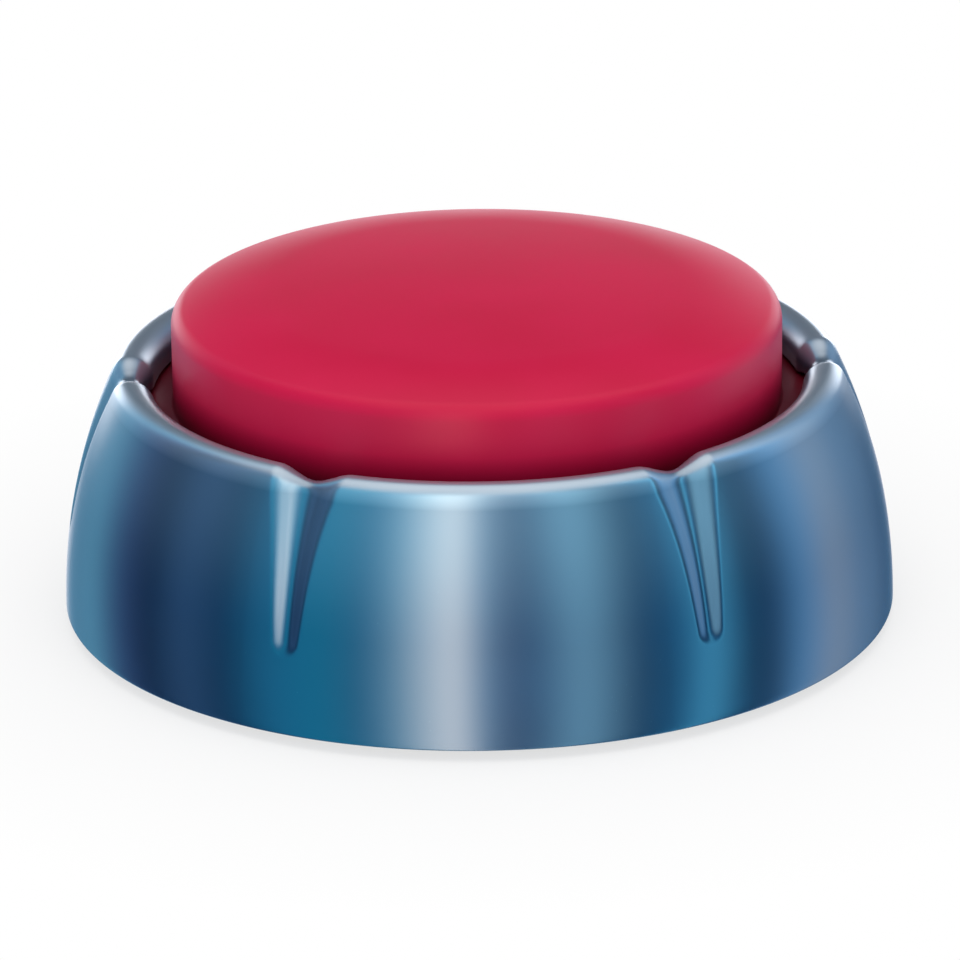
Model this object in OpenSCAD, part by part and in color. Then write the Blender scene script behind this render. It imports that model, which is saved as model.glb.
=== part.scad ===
// Quiz buzzer: a crowned push button in a fluted round housing, with its return springs,
// rubber-dome switch, loudspeaker and battery tray. Millimetres, +Z up, standing on z = 0.
// Angles round the axis count from the front (-Y) towards +X.

/* [Housing] */
// Widest diameter, at the housing's lower edge
base_d = 95; // [92:0.5:104]
// Height from the lower edge to the crest of the rim
rim_h = 28.3; // [27.5:0.1:31]
// Radius of the outer wall's bow, seen in section
bow_r = 65; // [60:1:75]
// Thickness of the outer wall
wall_t = 2.2; // [1.8:0.1:2.6]
// Rounding on the outer side of the rim
rim_round = 2; // [1.4:0.1:2.4]
// Distance of the opening's edge from the widest radius
opening_inset = 10.5; // [10.2:0.1:11]
// Height of the straight edge of the opening
lip_edge_h = 1.2; // [0.8:0.1:1.8]
// Thickness of the skirt round the base plate
skirt_t = 1.3; // [1:0.1:1.6]

/* [Flutes] */
// Number of flutes
flute_count = 6; // [3:1:8]
// Height of a flute's lower end above the lower edge
flute_end_h = 10.9; // [8:0.1:14]
// Radius of a flute's narrow lower end
flute_end_r = 1.4; // [1:0.1:2]
// Depth of a flute at its lower end
flute_end_depth = 0.3; // [0.2:0.05:0.5]
// Radius of a flute where it meets the rim
flute_top_r = 3.6; // [3:0.1:4.4]
// How far a flute dips the crest of the rim
rim_dip = 1; // [0.7:0.1:1.4]
// How far a flute widens the opening's edge
edge_dip = 0.7; // [0.4:0.1:1]
// Radius with which a flute's floor rolls over the rim
flute_roll = 1.8; // [1.4:0.1:2.2]
// Wall left between a flute and the inside
flute_wall = 1.7; // [1.4:0.1:2]

/* [Button] */
// Gap between the button's side and the opening
cap_gap = 2.35; // [2:0.05:3.2]
// Height of the button's side above the crest of the rim
cap_side_h = 5; // [4:0.1:7]
// Rounding between side and top
cap_edge_r = 2; // [1.5:0.1:3]
// Radius of the shoulder that leads into the crown
cap_shoulder_r = 40; // [25:1:60]
// Slope at which the crown passes into the shoulder, degrees
crown_slope = 3.5; // [2:0.5:5]
// Slope at which the shoulder passes into the edge, degrees
shoulder_slope = 17; // [12:1:22]
// Wall thickness of the button
cap_t = 2.1; // [1.8:0.1:2.5]
// Overlap of the button's flange under the rim
flange_hold = 1.4; // [1.2:0.1:1.6]
// Thickness of the flange
flange_t = 1.8; // [1.4:0.1:2]
// Travel of the button
travel = 3.5; // [2.5:0.1:3.8]
// Number of ribs under the button's top
cap_ribs = 6; // [3:1:12]
// Thickness of the ribs under the button's top
cap_rib_t = 1.2; // [0.8:0.1:1.6]
// Depth of the ribs under the button's top
cap_rib_h = 4; // [2:0.1:5]
// Diameter of the plunger that presses the switch
plunger_d = 8; // [7.5:0.1:10]
// Diameter of the bore up the plunger
plunger_bore_d = 4; // [3:0.1:5]

/* [Guides and return springs] */
// Distance of the guides from the button's side
guide_inset = 8.65; // [8.4:0.05:9.6]
// Diameter of a guide post
post_d = 6; // [5:0.1:6.4]
// Diameter of the bore up a guide post
post_bore_d = 2.6; // [2:0.1:3]
// Wall of a guide sleeve
sleeve_t = 1.3; // [1:0.1:1.5]
// Height of a guide sleeve above the deck
sleeve_h = 8; // [6:0.1:9]
// Wire diameter of a return spring
spring_wire_d = 0.7; // [0.5:0.05:0.8]
// Height of a return spring with the button up
spring_h = 15; // [13:0.1:16]
// Turns of a return spring
spring_turns = 7; // [5:1:8]

/* [Switch deck] */
// Thickness of the deck
deck_t = 1.8; // [1.5:0.1:2]
// Width of the ring that stops the button
stop_ring_w = 2.6; // [2:0.1:3]
// Distance of the pillars and deck screws from the deck's edge
pillar_inset = 7; // [6.6:0.1:7.6]
// Diameter of a pillar
pillar_d = 7; // [6:0.1:7.4]

/* [Circuit board and switch] */
// Thickness of the circuit board
board_t = 1.2; // [1:0.1:1.6]
// Height of the board's standoffs
standoff_h = 1.2; // [1:0.1:1.4]
// Distance of the board's screws from its edge
board_screw_inset = 3; // [2.8:0.1:4]
// Height of the rubber dome
dome_h = 6; // [5.6:0.1:6.4]
// Diameter of the rubber dome's foot
dome_foot_d = 14; // [12:0.5:16]
// Diameter of the rubber dome's head
dome_head_d = 7; // [6:0.5:8]
// Wall of the rubber dome's skirt
dome_wall = 0.6; // [0.5:0.1:0.8]

/* [Loudspeaker] */
// Diameter of the loudspeaker
speaker_d = 28; // [26:0.5:29]
// Height of the loudspeaker's basket
basket_h = 4.4; // [3.6:0.1:5]
// Diameter of the magnet
magnet_d = 16; // [14:0.5:18]
// Height of the magnet
magnet_h = 4; // [3:0.1:5]
// Sheet thickness of the basket
basket_t = 0.6; // [0.5:0.1:0.8]
// Diameter of a grille hole
grille_hole_d = 1.9; // [1.5:0.1:2.2]
// Spacing of the rings of grille holes
grille_pitch = 3.5; // [3.2:0.1:3.8]

/* [Base plate] */
// Thickness of the base plate
plate_t = 2.2; // [2:0.1:2.6]
// How far the base plate lies above the housing's lower edge
plate_inset = 0.3; // [0.1:0.1:0.5]
// Distance of the base screws from the widest radius
screw_inset = 7.5; // [7.3:0.1:8]
// Diameter of a screw boss of the housing
boss_d = 7.4; // [7:0.1:8]
// Height of a screw boss of the housing
boss_h = 9; // [8:0.1:10]
// Depth of the grip grooves in the battery door
grip_h = 0.4; // [0.3:0.05:0.5]

/* [Batteries] */
// Diameter of a cell
cell_d = 10.5; // [10:0.1:10.8]
// Length of a cell, with its nub
cell_l = 44.5; // [43:0.1:45]
// Distance of the battery tray from the middle, towards the back
tray_offset = 9.5; // [9:0.1:10]
// Wall of the battery tray
tray_t = 1.8; // [1.6:0.1:2]
// Room for the contacts along a cell, both ends together
contact_room = 5; // [4.6:0.1:5.4]
// Sheet thickness of a contact
contact_t = 0.4; // [0.3:0.05:0.5]
// Thickness of the battery door
door_t = 1.6; // [1.4:0.1:1.8]
// Width of a tab of the battery door
tab_w = 5; // [4:0.1:6]

/* [Feet and ballast] */
// How far the feet hold the housing off the table
foot_stand = 1.3; // [0.8:0.1:1.8]
// Diameter of a foot
foot_d = 10; // [8:0.5:11]
// Depth of a foot's pocket in the base plate
foot_pocket = 0.7; // [0.5:0.1:1]
// Distance of the feet from the widest radius
foot_inset = 9.5; // [9:0.1:11]
// Thickness of a ballast plate
ballast_t = 4; // [3:0.1:5]
// Width of a ballast plate
ballast_w = 7; // [6:0.1:7.2]

/* [Fasteners] */
// Shank diameter of the housing and deck screws
screw_d = 2.9; // [2.5:0.1:3.1]
// Head diameter of the housing and deck screws
screw_head_d = 5.6; // [5:0.1:6]
// Head height of the housing and deck screws
screw_head_h = 2; // [1.6:0.1:2.2]
// Shank diameter of the board, loudspeaker and door screws
small_screw_d = 2; // [1.7:0.1:2.2]

/* [Clearances] */
// Between pieces that only have to go together
fit_gap = 0.2; // [0.15:0.05:0.25]
// Between a screw and its hole, and between pressed sheet pieces
close_gap = 0.05; // [0.04:0.01:0.08]
// Between the battery door, with its screw, and what it moves against
door_gap = 0.3; // [0.25:0.05:0.35]
// Between the circuit board and the return springs
board_gap = 1.2; // [0.8:0.1:3]
// Between a guide post and its sleeve
slide_gap = 0.1; // [0.05:0.01:0.15]
// Left between the flange and its stops at each end of the travel
stop_gap = 0.25; // [0.2:0.05:0.3]

/* [Hidden] */
$fn = 64;

// --- Housing levels and radii ---
base_r = base_d / 2;
edge_z = foot_stand;                       // the housing's lower edge
crest_z = edge_z + rim_h;
bow_x = base_r - bow_r;                    // centre of the wall's bow, at the lower edge's level
round_z = rim_h - rim_round;               // centre of the outer rounding, above the lower edge
crest_r = bow_x + sqrt(pow(bow_r - rim_round, 2) - pow(round_z, 2));
wall_lean = asin(round_z / (bow_r - rim_round));
opening_r = base_r - opening_inset;
inner_round = crest_r - opening_r;
lip_z = crest_z - inner_round - lip_edge_h; // underside of the rim
function wall_r(h, inset = 0) = bow_x + sqrt(pow(bow_r - inset, 2) - pow(h, 2));

// --- Button levels and radii ---
cap_r = opening_r - cap_gap;
cap_side_z = crest_z + cap_side_h;
shoulder_out_r = cap_r - cap_edge_r * (1 - sin(shoulder_slope));
crown_out_r = shoulder_out_r - cap_shoulder_r * (sin(shoulder_slope) - sin(crown_slope));
crown_r = crown_out_r / sin(crown_slope);
shoulder_z = cap_side_z + cap_edge_r * cos(shoulder_slope);
crown_z = shoulder_z + cap_shoulder_r * (cos(crown_slope) - cos(shoulder_slope));
cap_top_z = crown_z + crown_r * (1 - cos(crown_slope));
flange_r = opening_r + flange_hold;
flange_top_z = lip_z - stop_gap;
flange_low_z = flange_top_z - flange_t;

// --- Base plate, battery tray and door levels ---
plate_z = edge_z + plate_inset;            // underside of the base plate
plate_top_z = plate_z + plate_t;
skirt_in_r = base_r - skirt_t;
plate_r = skirt_in_r - fit_gap;
locating_h = 1.8;                          // rim that locates the plate inside the housing
locating_t = 1.2;
locating_r = wall_r(plate_inset + plate_t + locating_h, wall_t) - fit_gap;
door_top_z = plate_z + door_t;
cell_z = door_top_z + door_gap + cell_d / 2;
cell_gap = 0.3;                            // between the two cells
cell_y = cell_d / 2 + cell_gap / 2;        // half the distance between their axes
tray_in = [cell_l + contact_room, 2 * cell_d + cell_gap + 2 * fit_gap];
tray_roof_z = cell_z + cell_d / 2 + 2 * fit_gap;
tray_top_z = tray_roof_z + 1.4;
tray_front_y = tray_offset - tray_in[1] / 2 - tray_t;
ledge_w = 1.2;                             // the door rests on this much of the tray's wall
door_hole = tray_in + [2 * ledge_w, 2 * ledge_w];
door_size = door_hole - [2 * door_gap, 2 * door_gap];
nose_r = door_t / 2;                       // rounded edge at the tabs, about which the door tilts
door_low_x = -door_size[0] / 2;
hinge_x = door_low_x + nose_r;
hinge_z = plate_z + nose_r;
tab_y = 7;                                 // the two tabs hook over the base plate
tab_t = 1.1;
tab_root_t = 1.1;
tab_z = plate_top_z + fit_gap;
tab_reach = 2.6;
tab_slot_z = tab_z + tab_t + 2.2;
lug_r = 4.2;                               // round lug that takes the door's screw
lug_x = door_hole[0] / 2 + 2.9;
door_head_d = 4.4;
door_head_h = 0.9;
door_head_z = plate_z + door_head_h + 0.1;
door_shank_l = 3.1;
lug_boss_t = 1.4;
lug_boss_h = 5.5;
lug_boss_z = door_top_z + door_gap;
tab_slot_h = 1.2;                          // slot that a contact's solder tab passes through
solder_tab_w = 2;
contact_w = 8;                             // width of a contact's plate at one cell

// --- Deck and switch levels ---
deck_z = tray_top_z + 0.5;
deck_top_z = deck_z + deck_t;
deck_r = cap_r + 1.4;
pillar_ring_r = deck_r - pillar_inset;
guide_ring_r = cap_r - guide_inset;
stop_z = flange_low_z - travel - stop_gap;
sleeve_bore_r = post_d / 2 + slide_gap;
sleeve_r = sleeve_bore_r + sleeve_t;
spring_r = sleeve_r + fit_gap + spring_wire_d;  // middle of the wire
collar_r = spring_r + spring_wire_d / 2;
collar_z = deck_top_z + close_gap + spring_h + stop_gap;
post_low_z = deck_z + travel + 0.7;
standoff_d = 5;
board_d = 2 * (guide_ring_r - collar_r - board_gap);
board_ring_r = board_d / 2 - board_screw_inset;
board_z = deck_top_z + standoff_h;
board_top_z = board_z + board_t;
dome_top_z = board_top_z + dome_h;
plunger_z = dome_top_z + stop_gap;
pill_r = dome_head_d / 2 - 1.2;
nub_d = 1.6;                               // rubber nubs that hold the dome in the board
nub_grip = 0.7;
nub_ring_r = dome_foot_d / 2 - 1.2;
nub_angles = [0, 180];
wire_hole_r = 2.2;
speaker_hole = [board_d / 2 + 4.5, 30];    // radius and angle of the leads' holes in the deck
battery_hole = [deck_r - 6, 90];

// --- Loudspeaker levels ---
speaker_r = speaker_d / 2;
speaker_seat_h = 0.5;                      // ring on the base plate that the rim sits on
speaker_z = plate_top_z + speaker_seat_h;
gasket_t = 0.6;
rim_w = 2;                                 // width of the gasket and of the basket's rim
cone_t = 0.3;
cone_rise = basket_h - basket_t - 0.4;
voice_r = 4.2;                             // hole in the basket that the coil moves in
coil_r = 3.4;
coil_t = 0.3;
basket_back_r = magnet_d / 2 + 2.4;
speaker_rim_z = speaker_z + gasket_t + cone_t + basket_t;  // back of the rim
terminal_z = speaker_rim_z + close_gap;
terminal_t = 0.8;
terminal_w = 2.8;
terminal_l = 6;
terminal_y = 1.6;
terminal_x = speaker_r - 0.1;              // middle of the strip, clear of the basket's wall
speaker_ring_t = 1.6;                      // wall round the loudspeaker, a little below its rim
speaker_ring_low = 0.4;
speaker_screw_r = speaker_r + 2.5;
speaker_screw_angles = [0, 120, 240];
washer_d = 6.4;
washer_h = 0.6;
// The loudspeaker stands midway between the battery tray and the base plate's locating rim
speaker_offset = (locating_r - locating_t - tray_front_y + speaker_ring_t - washer_d / 2
    + speaker_r - speaker_screw_r) / 2;

// --- Screw bosses, pillars and wells ---
screw_ring_r = base_r - screw_inset;
well_h = 4.7;                              // from the plate's underside to the well's roof
well_floor = 1.3;
well_top_z = plate_z + well_h;
well_bore_r = screw_head_d / 2 + 0.4;
well_r = well_bore_r + 1.5;
boss_rib_t = 1.6;
screw_hole_r = screw_d / 2 + close_gap;
small_hole_r = small_screw_d / 2 + close_gap;
screw_l = 8;
small_screw_l = 4;
screw_angles = [60, 180, 300];             // base screws, pillars and board screws
guide_angles = [0, 120, 240];

// --- Feet and ballast ---
foot_ring_r = base_r - foot_inset;
foot_top_z = plate_z + foot_pocket;
foot_angles = [45, 150, 210, 315];         // the back ones stand clear of the battery door
ballast_out_r = locating_r - locating_t - fit_gap;
ballast_arc = 56;
ballast_turn = 10;                         // towards the back, clear of the base screws
peg_d = 3;
peg_head_d = 5;
peg_head_h = 0.8;
peg_turn = 17;

// --- Leads ---
wire_r = 0.5;
wire_steps = 8;                            // steps in one bend of a lead
solder_z = cell_z + 3.2;                   // underside of the solder tabs
solder_reach = 2.6;                        // length of a solder tab outside the tray
solder_gap = 0.3;                          // left for the solder under a lead's end
speaker_pads = [board_d / 2 - 9, 4.5 - board_d / 2];

// --- Helpers ---
// Points along an arc in a plane, from angle a0 to angle a1
function arc(c, r, a0, a1, n) =
    [for (i = [0:n]) let (a = a0 + (a1 - a0) * i / n) c + r * [cos(a), sin(a)]];
function unit(v) = v / norm(v);
// Direction of a path at point i
function along(p, i) = unit(p[min(i + 1, len(p) - 1)] - p[max(i - 1, 0)]);

// A smooth bend from a to d that leaves along b - a and arrives along d - c
function bend(a, b, c, d, n) =
    [for (i = [0:n]) let (t = i / n, u = 1 - t)
        u * u * u * a + 3 * u * u * t * b + 3 * u * t * t * c + t * t * t * d];

// Places its children on a ring, at angles from the front towards +X
module around(angles, r = 0) {
    for (a = angles) rotate([0, 0, a]) translate([0, -r, 0]) children();
}

// A round tube swept along a path; ref is a direction that the path never takes
module tube(path, r, sides, ref) {
    points = [for (i = [0:len(path) - 1])
        let (t = along(path, i), u = unit(cross(t, ref)), v = cross(t, u))
        for (k = [0:sides - 1]) path[i] + r * (cos(k * 360 / sides) * u + sin(k * 360 / sides) * v)];
    last = (len(path) - 1) * sides;
    faces = concat(
        [[for (k = [0:sides - 1]) k]],
        [[for (k = [0:sides - 1]) last + sides - 1 - k]],
        [for (i = [0:len(path) - 2], k = [0:sides - 1], half = [0, 1])
            let (m = (k + 1) % sides, a = i * sides, b = a + sides)
            half == 0 ? [a + k, b + k, b + m] : [a + k, b + m, a + m]]);
    polyhedron(points, faces);
}

// A compression spring from z = 0 to z = h with closed end turns; r1 and r2 are its ends' radii
module coil(r1, r2, wire_d, h, turns, steps = 14) {
    end_rise = wire_d * 1.1;
    rise = h - wire_d - 2 * end_rise;
    function lift(t) = t < 1 ? t * end_rise
        : t > turns - 1 ? end_rise + rise + (t - turns + 1) * end_rise
        : end_rise + rise * (t - 1) / (turns - 2);
    path = [for (i = [0:turns * steps]) let (t = i / steps, r = r1 + (r2 - r1) * t / turns)
        [r * cos(360 * t), r * sin(360 * t), wire_d / 2 + lift(t)]];
    tube(path, wire_d / 2, 6, [0, 0, 1]);
}

// A pan-head screw with a cross recess: head on top of z = 0, shank below
module screw(head_d, head_h, shank_d, shank_l) {
    slot_w = head_d * 0.15;
    slot_l = head_d * 0.55;
    difference() {
        rotate_extrude() polygon(concat(
            [[0, -shank_l], [shank_d / 2 - 0.3, -shank_l], [shank_d / 2, 0.6 - shank_l], [shank_d / 2, 0],
             [head_d / 2, 0]],
            arc([head_d / 2 - head_h * 0.6, head_h * 0.4], head_h * 0.6, 0, 90, 5), [[0, head_h]]));
        for (a = [0, 90]) rotate([0, 0, a])
            translate([-slot_l / 2, -slot_w / 2, head_h * 0.45]) cube([slot_l, slot_w, head_h]);
    }
}

// --- Housing ---
// One flute's tool in the XZ plane: a cone up the wall that rolls over the rim and drops down
// the opening's edge. grow widens it; the inner tool stops at the rim.
module flute_tool(grow = 0, over_rim = true) {
    low = [wall_r(flute_end_h) + flute_end_r - flute_end_depth, edge_z + flute_end_h];
    roll = [opening_r + edge_dip + flute_roll, crest_z - rim_dip - flute_roll];
    ring_r = flute_roll + flute_top_r;
    reach = norm(roll - low);
    slope = atan2(roll[1] - low[1], roll[0] - low[0]) - asin(ring_r / reach);
    length = sqrt(pow(reach, 2) - pow(ring_r, 2));
    lap = 2;                               // degrees by which the roll starts inside the cone
    translate([low[0], 0, low[1]]) {
        sphere(r = flute_end_r + grow);
        rotate([0, 90 - slope, 0]) cylinder(h = length, r1 = flute_end_r + grow, r2 = flute_top_r + grow);
    }
    if (over_rim) translate([roll[0], 0, roll[1]]) {
        rotate([90, 0, 0]) rotate([0, 0, slope - 90 - lap])
            rotate_extrude(angle = 270 - slope + lap) translate([ring_r, 0]) circle(r = flute_top_r);
        translate([-ring_r, 0, -2 * lip_edge_h - inner_round])
            cylinder(r = flute_top_r, h = 2 * lip_edge_h + inner_round);
    }
}

module flutes(grow = 0, over_rim = true) {
    for (i = [0:flute_count - 1]) rotate([0, 0, (i + 0.5) * 360 / flute_count - 90])
        flute_tool(grow, over_rim);
}

// Solid form of the housing, from the axis outwards
module housing_form() {
    translate([0, 0, edge_z]) rotate_extrude() polygon(concat(
        [[0, 0]],
        arc([bow_x, 0], bow_r, 0, wall_lean, 14),
        arc([crest_r, round_z], rim_round, wall_lean, 90, 6),
        arc([crest_r, rim_h - inner_round], inner_round, 90, 180, 8),
        [[0, rim_h - inner_round]]));
}

// Room inside the housing: under the rim, and the step that takes the base plate
module housing_room() {
    room_top = lip_z - edge_z;
    top_angle = asin(room_top / (bow_r - wall_t));
    difference() {
        translate([0, 0, edge_z]) rotate_extrude() polygon(concat(
            [[0, -1], [wall_r(0, wall_t), -1]],
            arc([bow_x, 0], bow_r - wall_t, 0, top_angle, 12),
            [[0, room_top]]));
        flutes(flute_wall, false);
    }
    translate([0, 0, edge_z - 1]) cylinder(r = skirt_in_r, h = 1 + plate_inset + plate_t);
    translate([0, 0, edge_z]) cylinder(r = opening_r, h = rim_h + 1);
}

module housing() {
    boss_z = well_top_z;
    color([0.11, 0.33, 0.50]) difference() {
        union() {
            difference() {
                housing_form();
                housing_room();
                flutes();
            }
            intersection() {
                housing_form();
                around(screw_angles, screw_ring_r) {
                    translate([0, 0, boss_z]) cylinder(d = boss_d, h = boss_h);
                    translate([-boss_rib_t / 2, -screw_inset + skirt_t, boss_z])
                        cube([boss_rib_t, screw_inset - skirt_t, boss_h]);
                }
            }
        }
        around(screw_angles, screw_ring_r)
            translate([0, 0, boss_z - 1]) cylinder(r = screw_hole_r, h = screw_l + 0.5, $fn = 32);
    }
}

// --- Button ---
// Outline of the button's top from the axis to its side, moved in by inset
function cap_outline(inset) = concat(
    arc([0, cap_top_z - crown_r], crown_r - inset, 90, 90 - crown_slope, 8),
    arc([crown_out_r, crown_z] - cap_shoulder_r * [sin(crown_slope), cos(crown_slope)],
        cap_shoulder_r - inset, 90 - crown_slope, 90 - shoulder_slope, 8),
    inset < cap_edge_r
        ? arc([cap_r - cap_edge_r, cap_side_z], cap_edge_r - inset, 90 - shoulder_slope, 0, 8)
        : [[cap_r, shoulder_z - inset - 1]]);

// Solid of revolution under the outline, down to z
module cap_solid(inset, z) {
    rotate_extrude() intersection() {
        polygon(concat([[0, z]], cap_outline(inset), [[cap_r, z]]));
        translate([0, z]) square([cap_r - inset, cap_top_z - z]);
    }
}

module button_cap() {
    rib_z = cap_top_z - cap_t - cap_rib_h;
    color([0.76, 0.10, 0.24]) difference() {
        union() {
            difference() {
                union() {
                    cap_solid(0, flange_low_z);
                    translate([0, 0, flange_low_z]) cylinder(r = flange_r, h = flange_t);
                }
                cap_solid(cap_t, flange_low_z - 1);
            }
            intersection() {
                cap_solid(cap_t / 2, plunger_z);
                union() {
                    translate([0, 0, plunger_z]) cylinder(d = plunger_d, h = cap_top_z - plunger_z);
                    difference() {
                        around([for (i = [0:cap_ribs - 1]) i * 360 / cap_ribs])
                            translate([-cap_rib_t / 2, -cap_r, rib_z]) cube([cap_rib_t, cap_r, cap_top_z - rib_z]);
                        around(guide_angles, guide_ring_r) translate([0, 0, plunger_z])
                            cylinder(r = collar_r + fit_gap, h = collar_z - plunger_z);
                    }
                    around(guide_angles, guide_ring_r)
                        translate([0, 0, collar_z]) cylinder(r = collar_r, h = cap_top_z - collar_z);
                }
            }
            around(guide_angles, guide_ring_r)
                translate([0, 0, post_low_z]) cylinder(d = post_d, h = collar_z - post_low_z + 1);
        }
        around(guide_angles, guide_ring_r)
            translate([0, 0, post_low_z - 1]) cylinder(d = post_bore_d, h = collar_z - post_low_z, $fn = 32);
        translate([0, 0, plunger_z - 1]) cylinder(d = plunger_bore_d, h = rib_z - plunger_z + 1, $fn = 32);
    }
}

module return_spring(i) {
    color([0.78, 0.79, 0.80]) around([guide_angles[i]], guide_ring_r)
        translate([0, 0, deck_top_z + close_gap]) coil(spring_r, spring_r, spring_wire_d, spring_h, spring_turns);
}

// --- Switch deck, board and dome ---
module switch_deck() {
    color([0.12, 0.12, 0.13]) difference() {
        union() {
            translate([0, 0, deck_z]) cylinder(r = deck_r, h = deck_t);
            translate([0, 0, deck_z]) difference() {
                cylinder(r = deck_r, h = stop_z - deck_z);
                translate([0, 0, -1]) cylinder(r = deck_r - stop_ring_w, h = stop_z - deck_z + 2);
            }
            around(guide_angles, guide_ring_r)
                translate([0, 0, deck_z]) cylinder(r = sleeve_r, h = deck_t + sleeve_h);
            around(screw_angles, board_ring_r)
                translate([0, 0, deck_z]) cylinder(d = standoff_d, h = deck_t + standoff_h);
        }
        around(guide_angles, guide_ring_r)
            translate([0, 0, deck_z - 1]) cylinder(r = sleeve_bore_r, h = deck_t + sleeve_h + 2);
        around(screw_angles, board_ring_r)
            translate([0, 0, deck_z - 1]) cylinder(r = small_hole_r, h = deck_t + standoff_h + 2, $fn = 32);
        around(screw_angles, pillar_ring_r)
            translate([0, 0, deck_z - 1]) cylinder(r = screw_hole_r, h = deck_t + 2, $fn = 32);
        for (hole = [speaker_hole, battery_hole]) around([hole[1]], hole[0])
            translate([0, 0, deck_z - 1]) cylinder(r = wire_hole_r, h = deck_t + 2, $fn = 32);
    }
}

module circuit_board() {
    color([0.10, 0.36, 0.16]) difference() {
        translate([0, 0, board_z]) cylinder(d = board_d, h = board_t);
        around(screw_angles, board_ring_r)
            translate([0, 0, board_z - 1]) cylinder(r = small_hole_r, h = board_t + 2, $fn = 32);
        around(nub_angles, nub_ring_r)
            translate([0, 0, board_z - 1]) cylinder(d = nub_d + 2 * close_gap, h = board_t + 2, $fn = 32);
    }
}

// The dome's carbon pill is moulded into its head, and two nubs hold its foot in the board
module rubber_dome() {
    foot_r = dome_foot_d / 2;
    head_r = dome_head_d / 2;
    skirt_r = foot_r - 1.8;
    head_low = dome_h * 0.62;
    color([0.82, 0.82, 0.80]) translate([0, 0, board_top_z]) {
        rotate_extrude() polygon([
            [0, dome_h], [head_r - 0.4, dome_h], [head_r, dome_h - 0.4], [head_r, head_low],
            [skirt_r + 0.2, 1.2], [foot_r, 1], [foot_r, 0], [skirt_r - dome_wall, 0],
            [skirt_r - dome_wall, 0.7], [head_r - dome_wall, head_low - 0.4], [pill_r, head_low - 0.4],
            [pill_r, head_low - 0.9], [0, head_low - 0.9]]);
        around(nub_angles, nub_ring_r) translate([0, 0, -board_t - nub_grip]) {
            cylinder(d = nub_d, h = board_t + nub_grip + 0.5, $fn = 24);
            cylinder(d1 = nub_d, d2 = nub_d + 0.6, h = nub_grip, $fn = 24);
        }
    }
}

module chip_blob() {
    ball_r = 3.6;
    sunk = 1.6;
    x = -dome_foot_d / 2 - 2 * fit_gap - sqrt(ball_r * ball_r - sunk * sunk);
    color([0.03, 0.03, 0.03]) translate([x, 0, board_top_z]) rotate_extrude()
        polygon(concat([[0, 0]], arc([0, -sunk], ball_r, asin(sunk / ball_r), 90, 8)));
}

// Two resistors that lie on their wires, and a round capacitor
module board_parts() {
    wire_d = 0.6;
    body_l = 3.6;
    body_d = 2;
    pitch = 2.5;                           // between the resistors
    lift = 1.1;
    can_d = 4;
    color([0.72, 0.62, 0.45]) {
        for (i = [0, 1]) translate([-body_l, pitch * i - board_d / 2 + 3.5, board_top_z]) {
            translate([-body_l / 2, 0, lift]) rotate([0, 90, 0]) cylinder(d = body_d, h = body_l, $fn = 24);
            translate([-body_l * 0.8, 0, lift]) rotate([0, 90, 0]) cylinder(d = wire_d, h = body_l * 1.6, $fn = 16);
            for (s = [-1, 1]) translate([s * body_l * 0.75, 0, 0])
                cylinder(d = wire_d, h = lift + wire_d / 2, $fn = 16);
        }
        around([215], dome_foot_d / 2 + can_d / 2 + 4 * fit_gap)
            translate([0, 0, board_top_z]) cylinder(d = can_d, h = 4.5);
    }
}

module board_screws() {
    color([0.75, 0.75, 0.76]) around(screw_angles, board_ring_r)
        translate([0, 0, board_top_z]) screw(2 * small_screw_d, 1.3, small_screw_d, small_screw_l);
}

module deck_screws() {
    color([0.75, 0.75, 0.76]) around(screw_angles, pillar_ring_r)
        translate([0, 0, deck_top_z]) screw(screw_head_d, screw_head_h, screw_d, screw_l);
}

// --- Loudspeaker, facing down over the grille ---
module speaker_gasket() {
    color([0.62, 0.50, 0.36]) translate([0, -speaker_offset, speaker_z]) difference() {
        cylinder(r = speaker_r, h = gasket_t);
        translate([0, 0, -1]) cylinder(r = speaker_r - rim_w, h = gasket_t + 2);
    }
}

// Outline of a thin sheet that follows the points, t thick on their left side
function sheet(p, t) = concat(p, [for (i = [len(p) - 1:-1:0]) let (d = along(p, i)) p[i] + t * [-d[1], d[0]]]);

// Paper cone with its dust cap, its rolled surround and the coil's former behind it
module speaker_cone() {
    roll_r = 0.8;
    roll_x = speaker_r - rim_w - 0.6 - roll_r;
    dust_r = 4.2;
    dust_z = cone_rise - 1.2 - dust_r;
    coil_low = dust_z + sqrt(dust_r * dust_r - coil_r * coil_r) - 0.2;
    color([0.10, 0.10, 0.11]) translate([0, -speaker_offset, speaker_z + gasket_t]) {
        rotate_extrude() polygon(sheet(concat(
            [[coil_r, cone_rise - 0.3], [roll_x - roll_r - 0.2, 0.1]], arc([roll_x, 0], roll_r, 165, 0, 9),
            [[speaker_r - 0.2, 0]]), cone_t));
        rotate_extrude() intersection() {
            translate([0, dust_z]) difference() {
                circle(r = dust_r + cone_t);
                circle(r = dust_r);
            }
            translate([0, coil_low]) square([coil_r + coil_t / 2, cone_rise]);
        }
        translate([0, 0, coil_low]) difference() {
            cylinder(r = coil_r + coil_t, h = cone_rise + 0.4 - coil_low);
            translate([0, 0, -1]) cylinder(r = coil_r, h = basket_h + 2);
        }
    }
}

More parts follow.
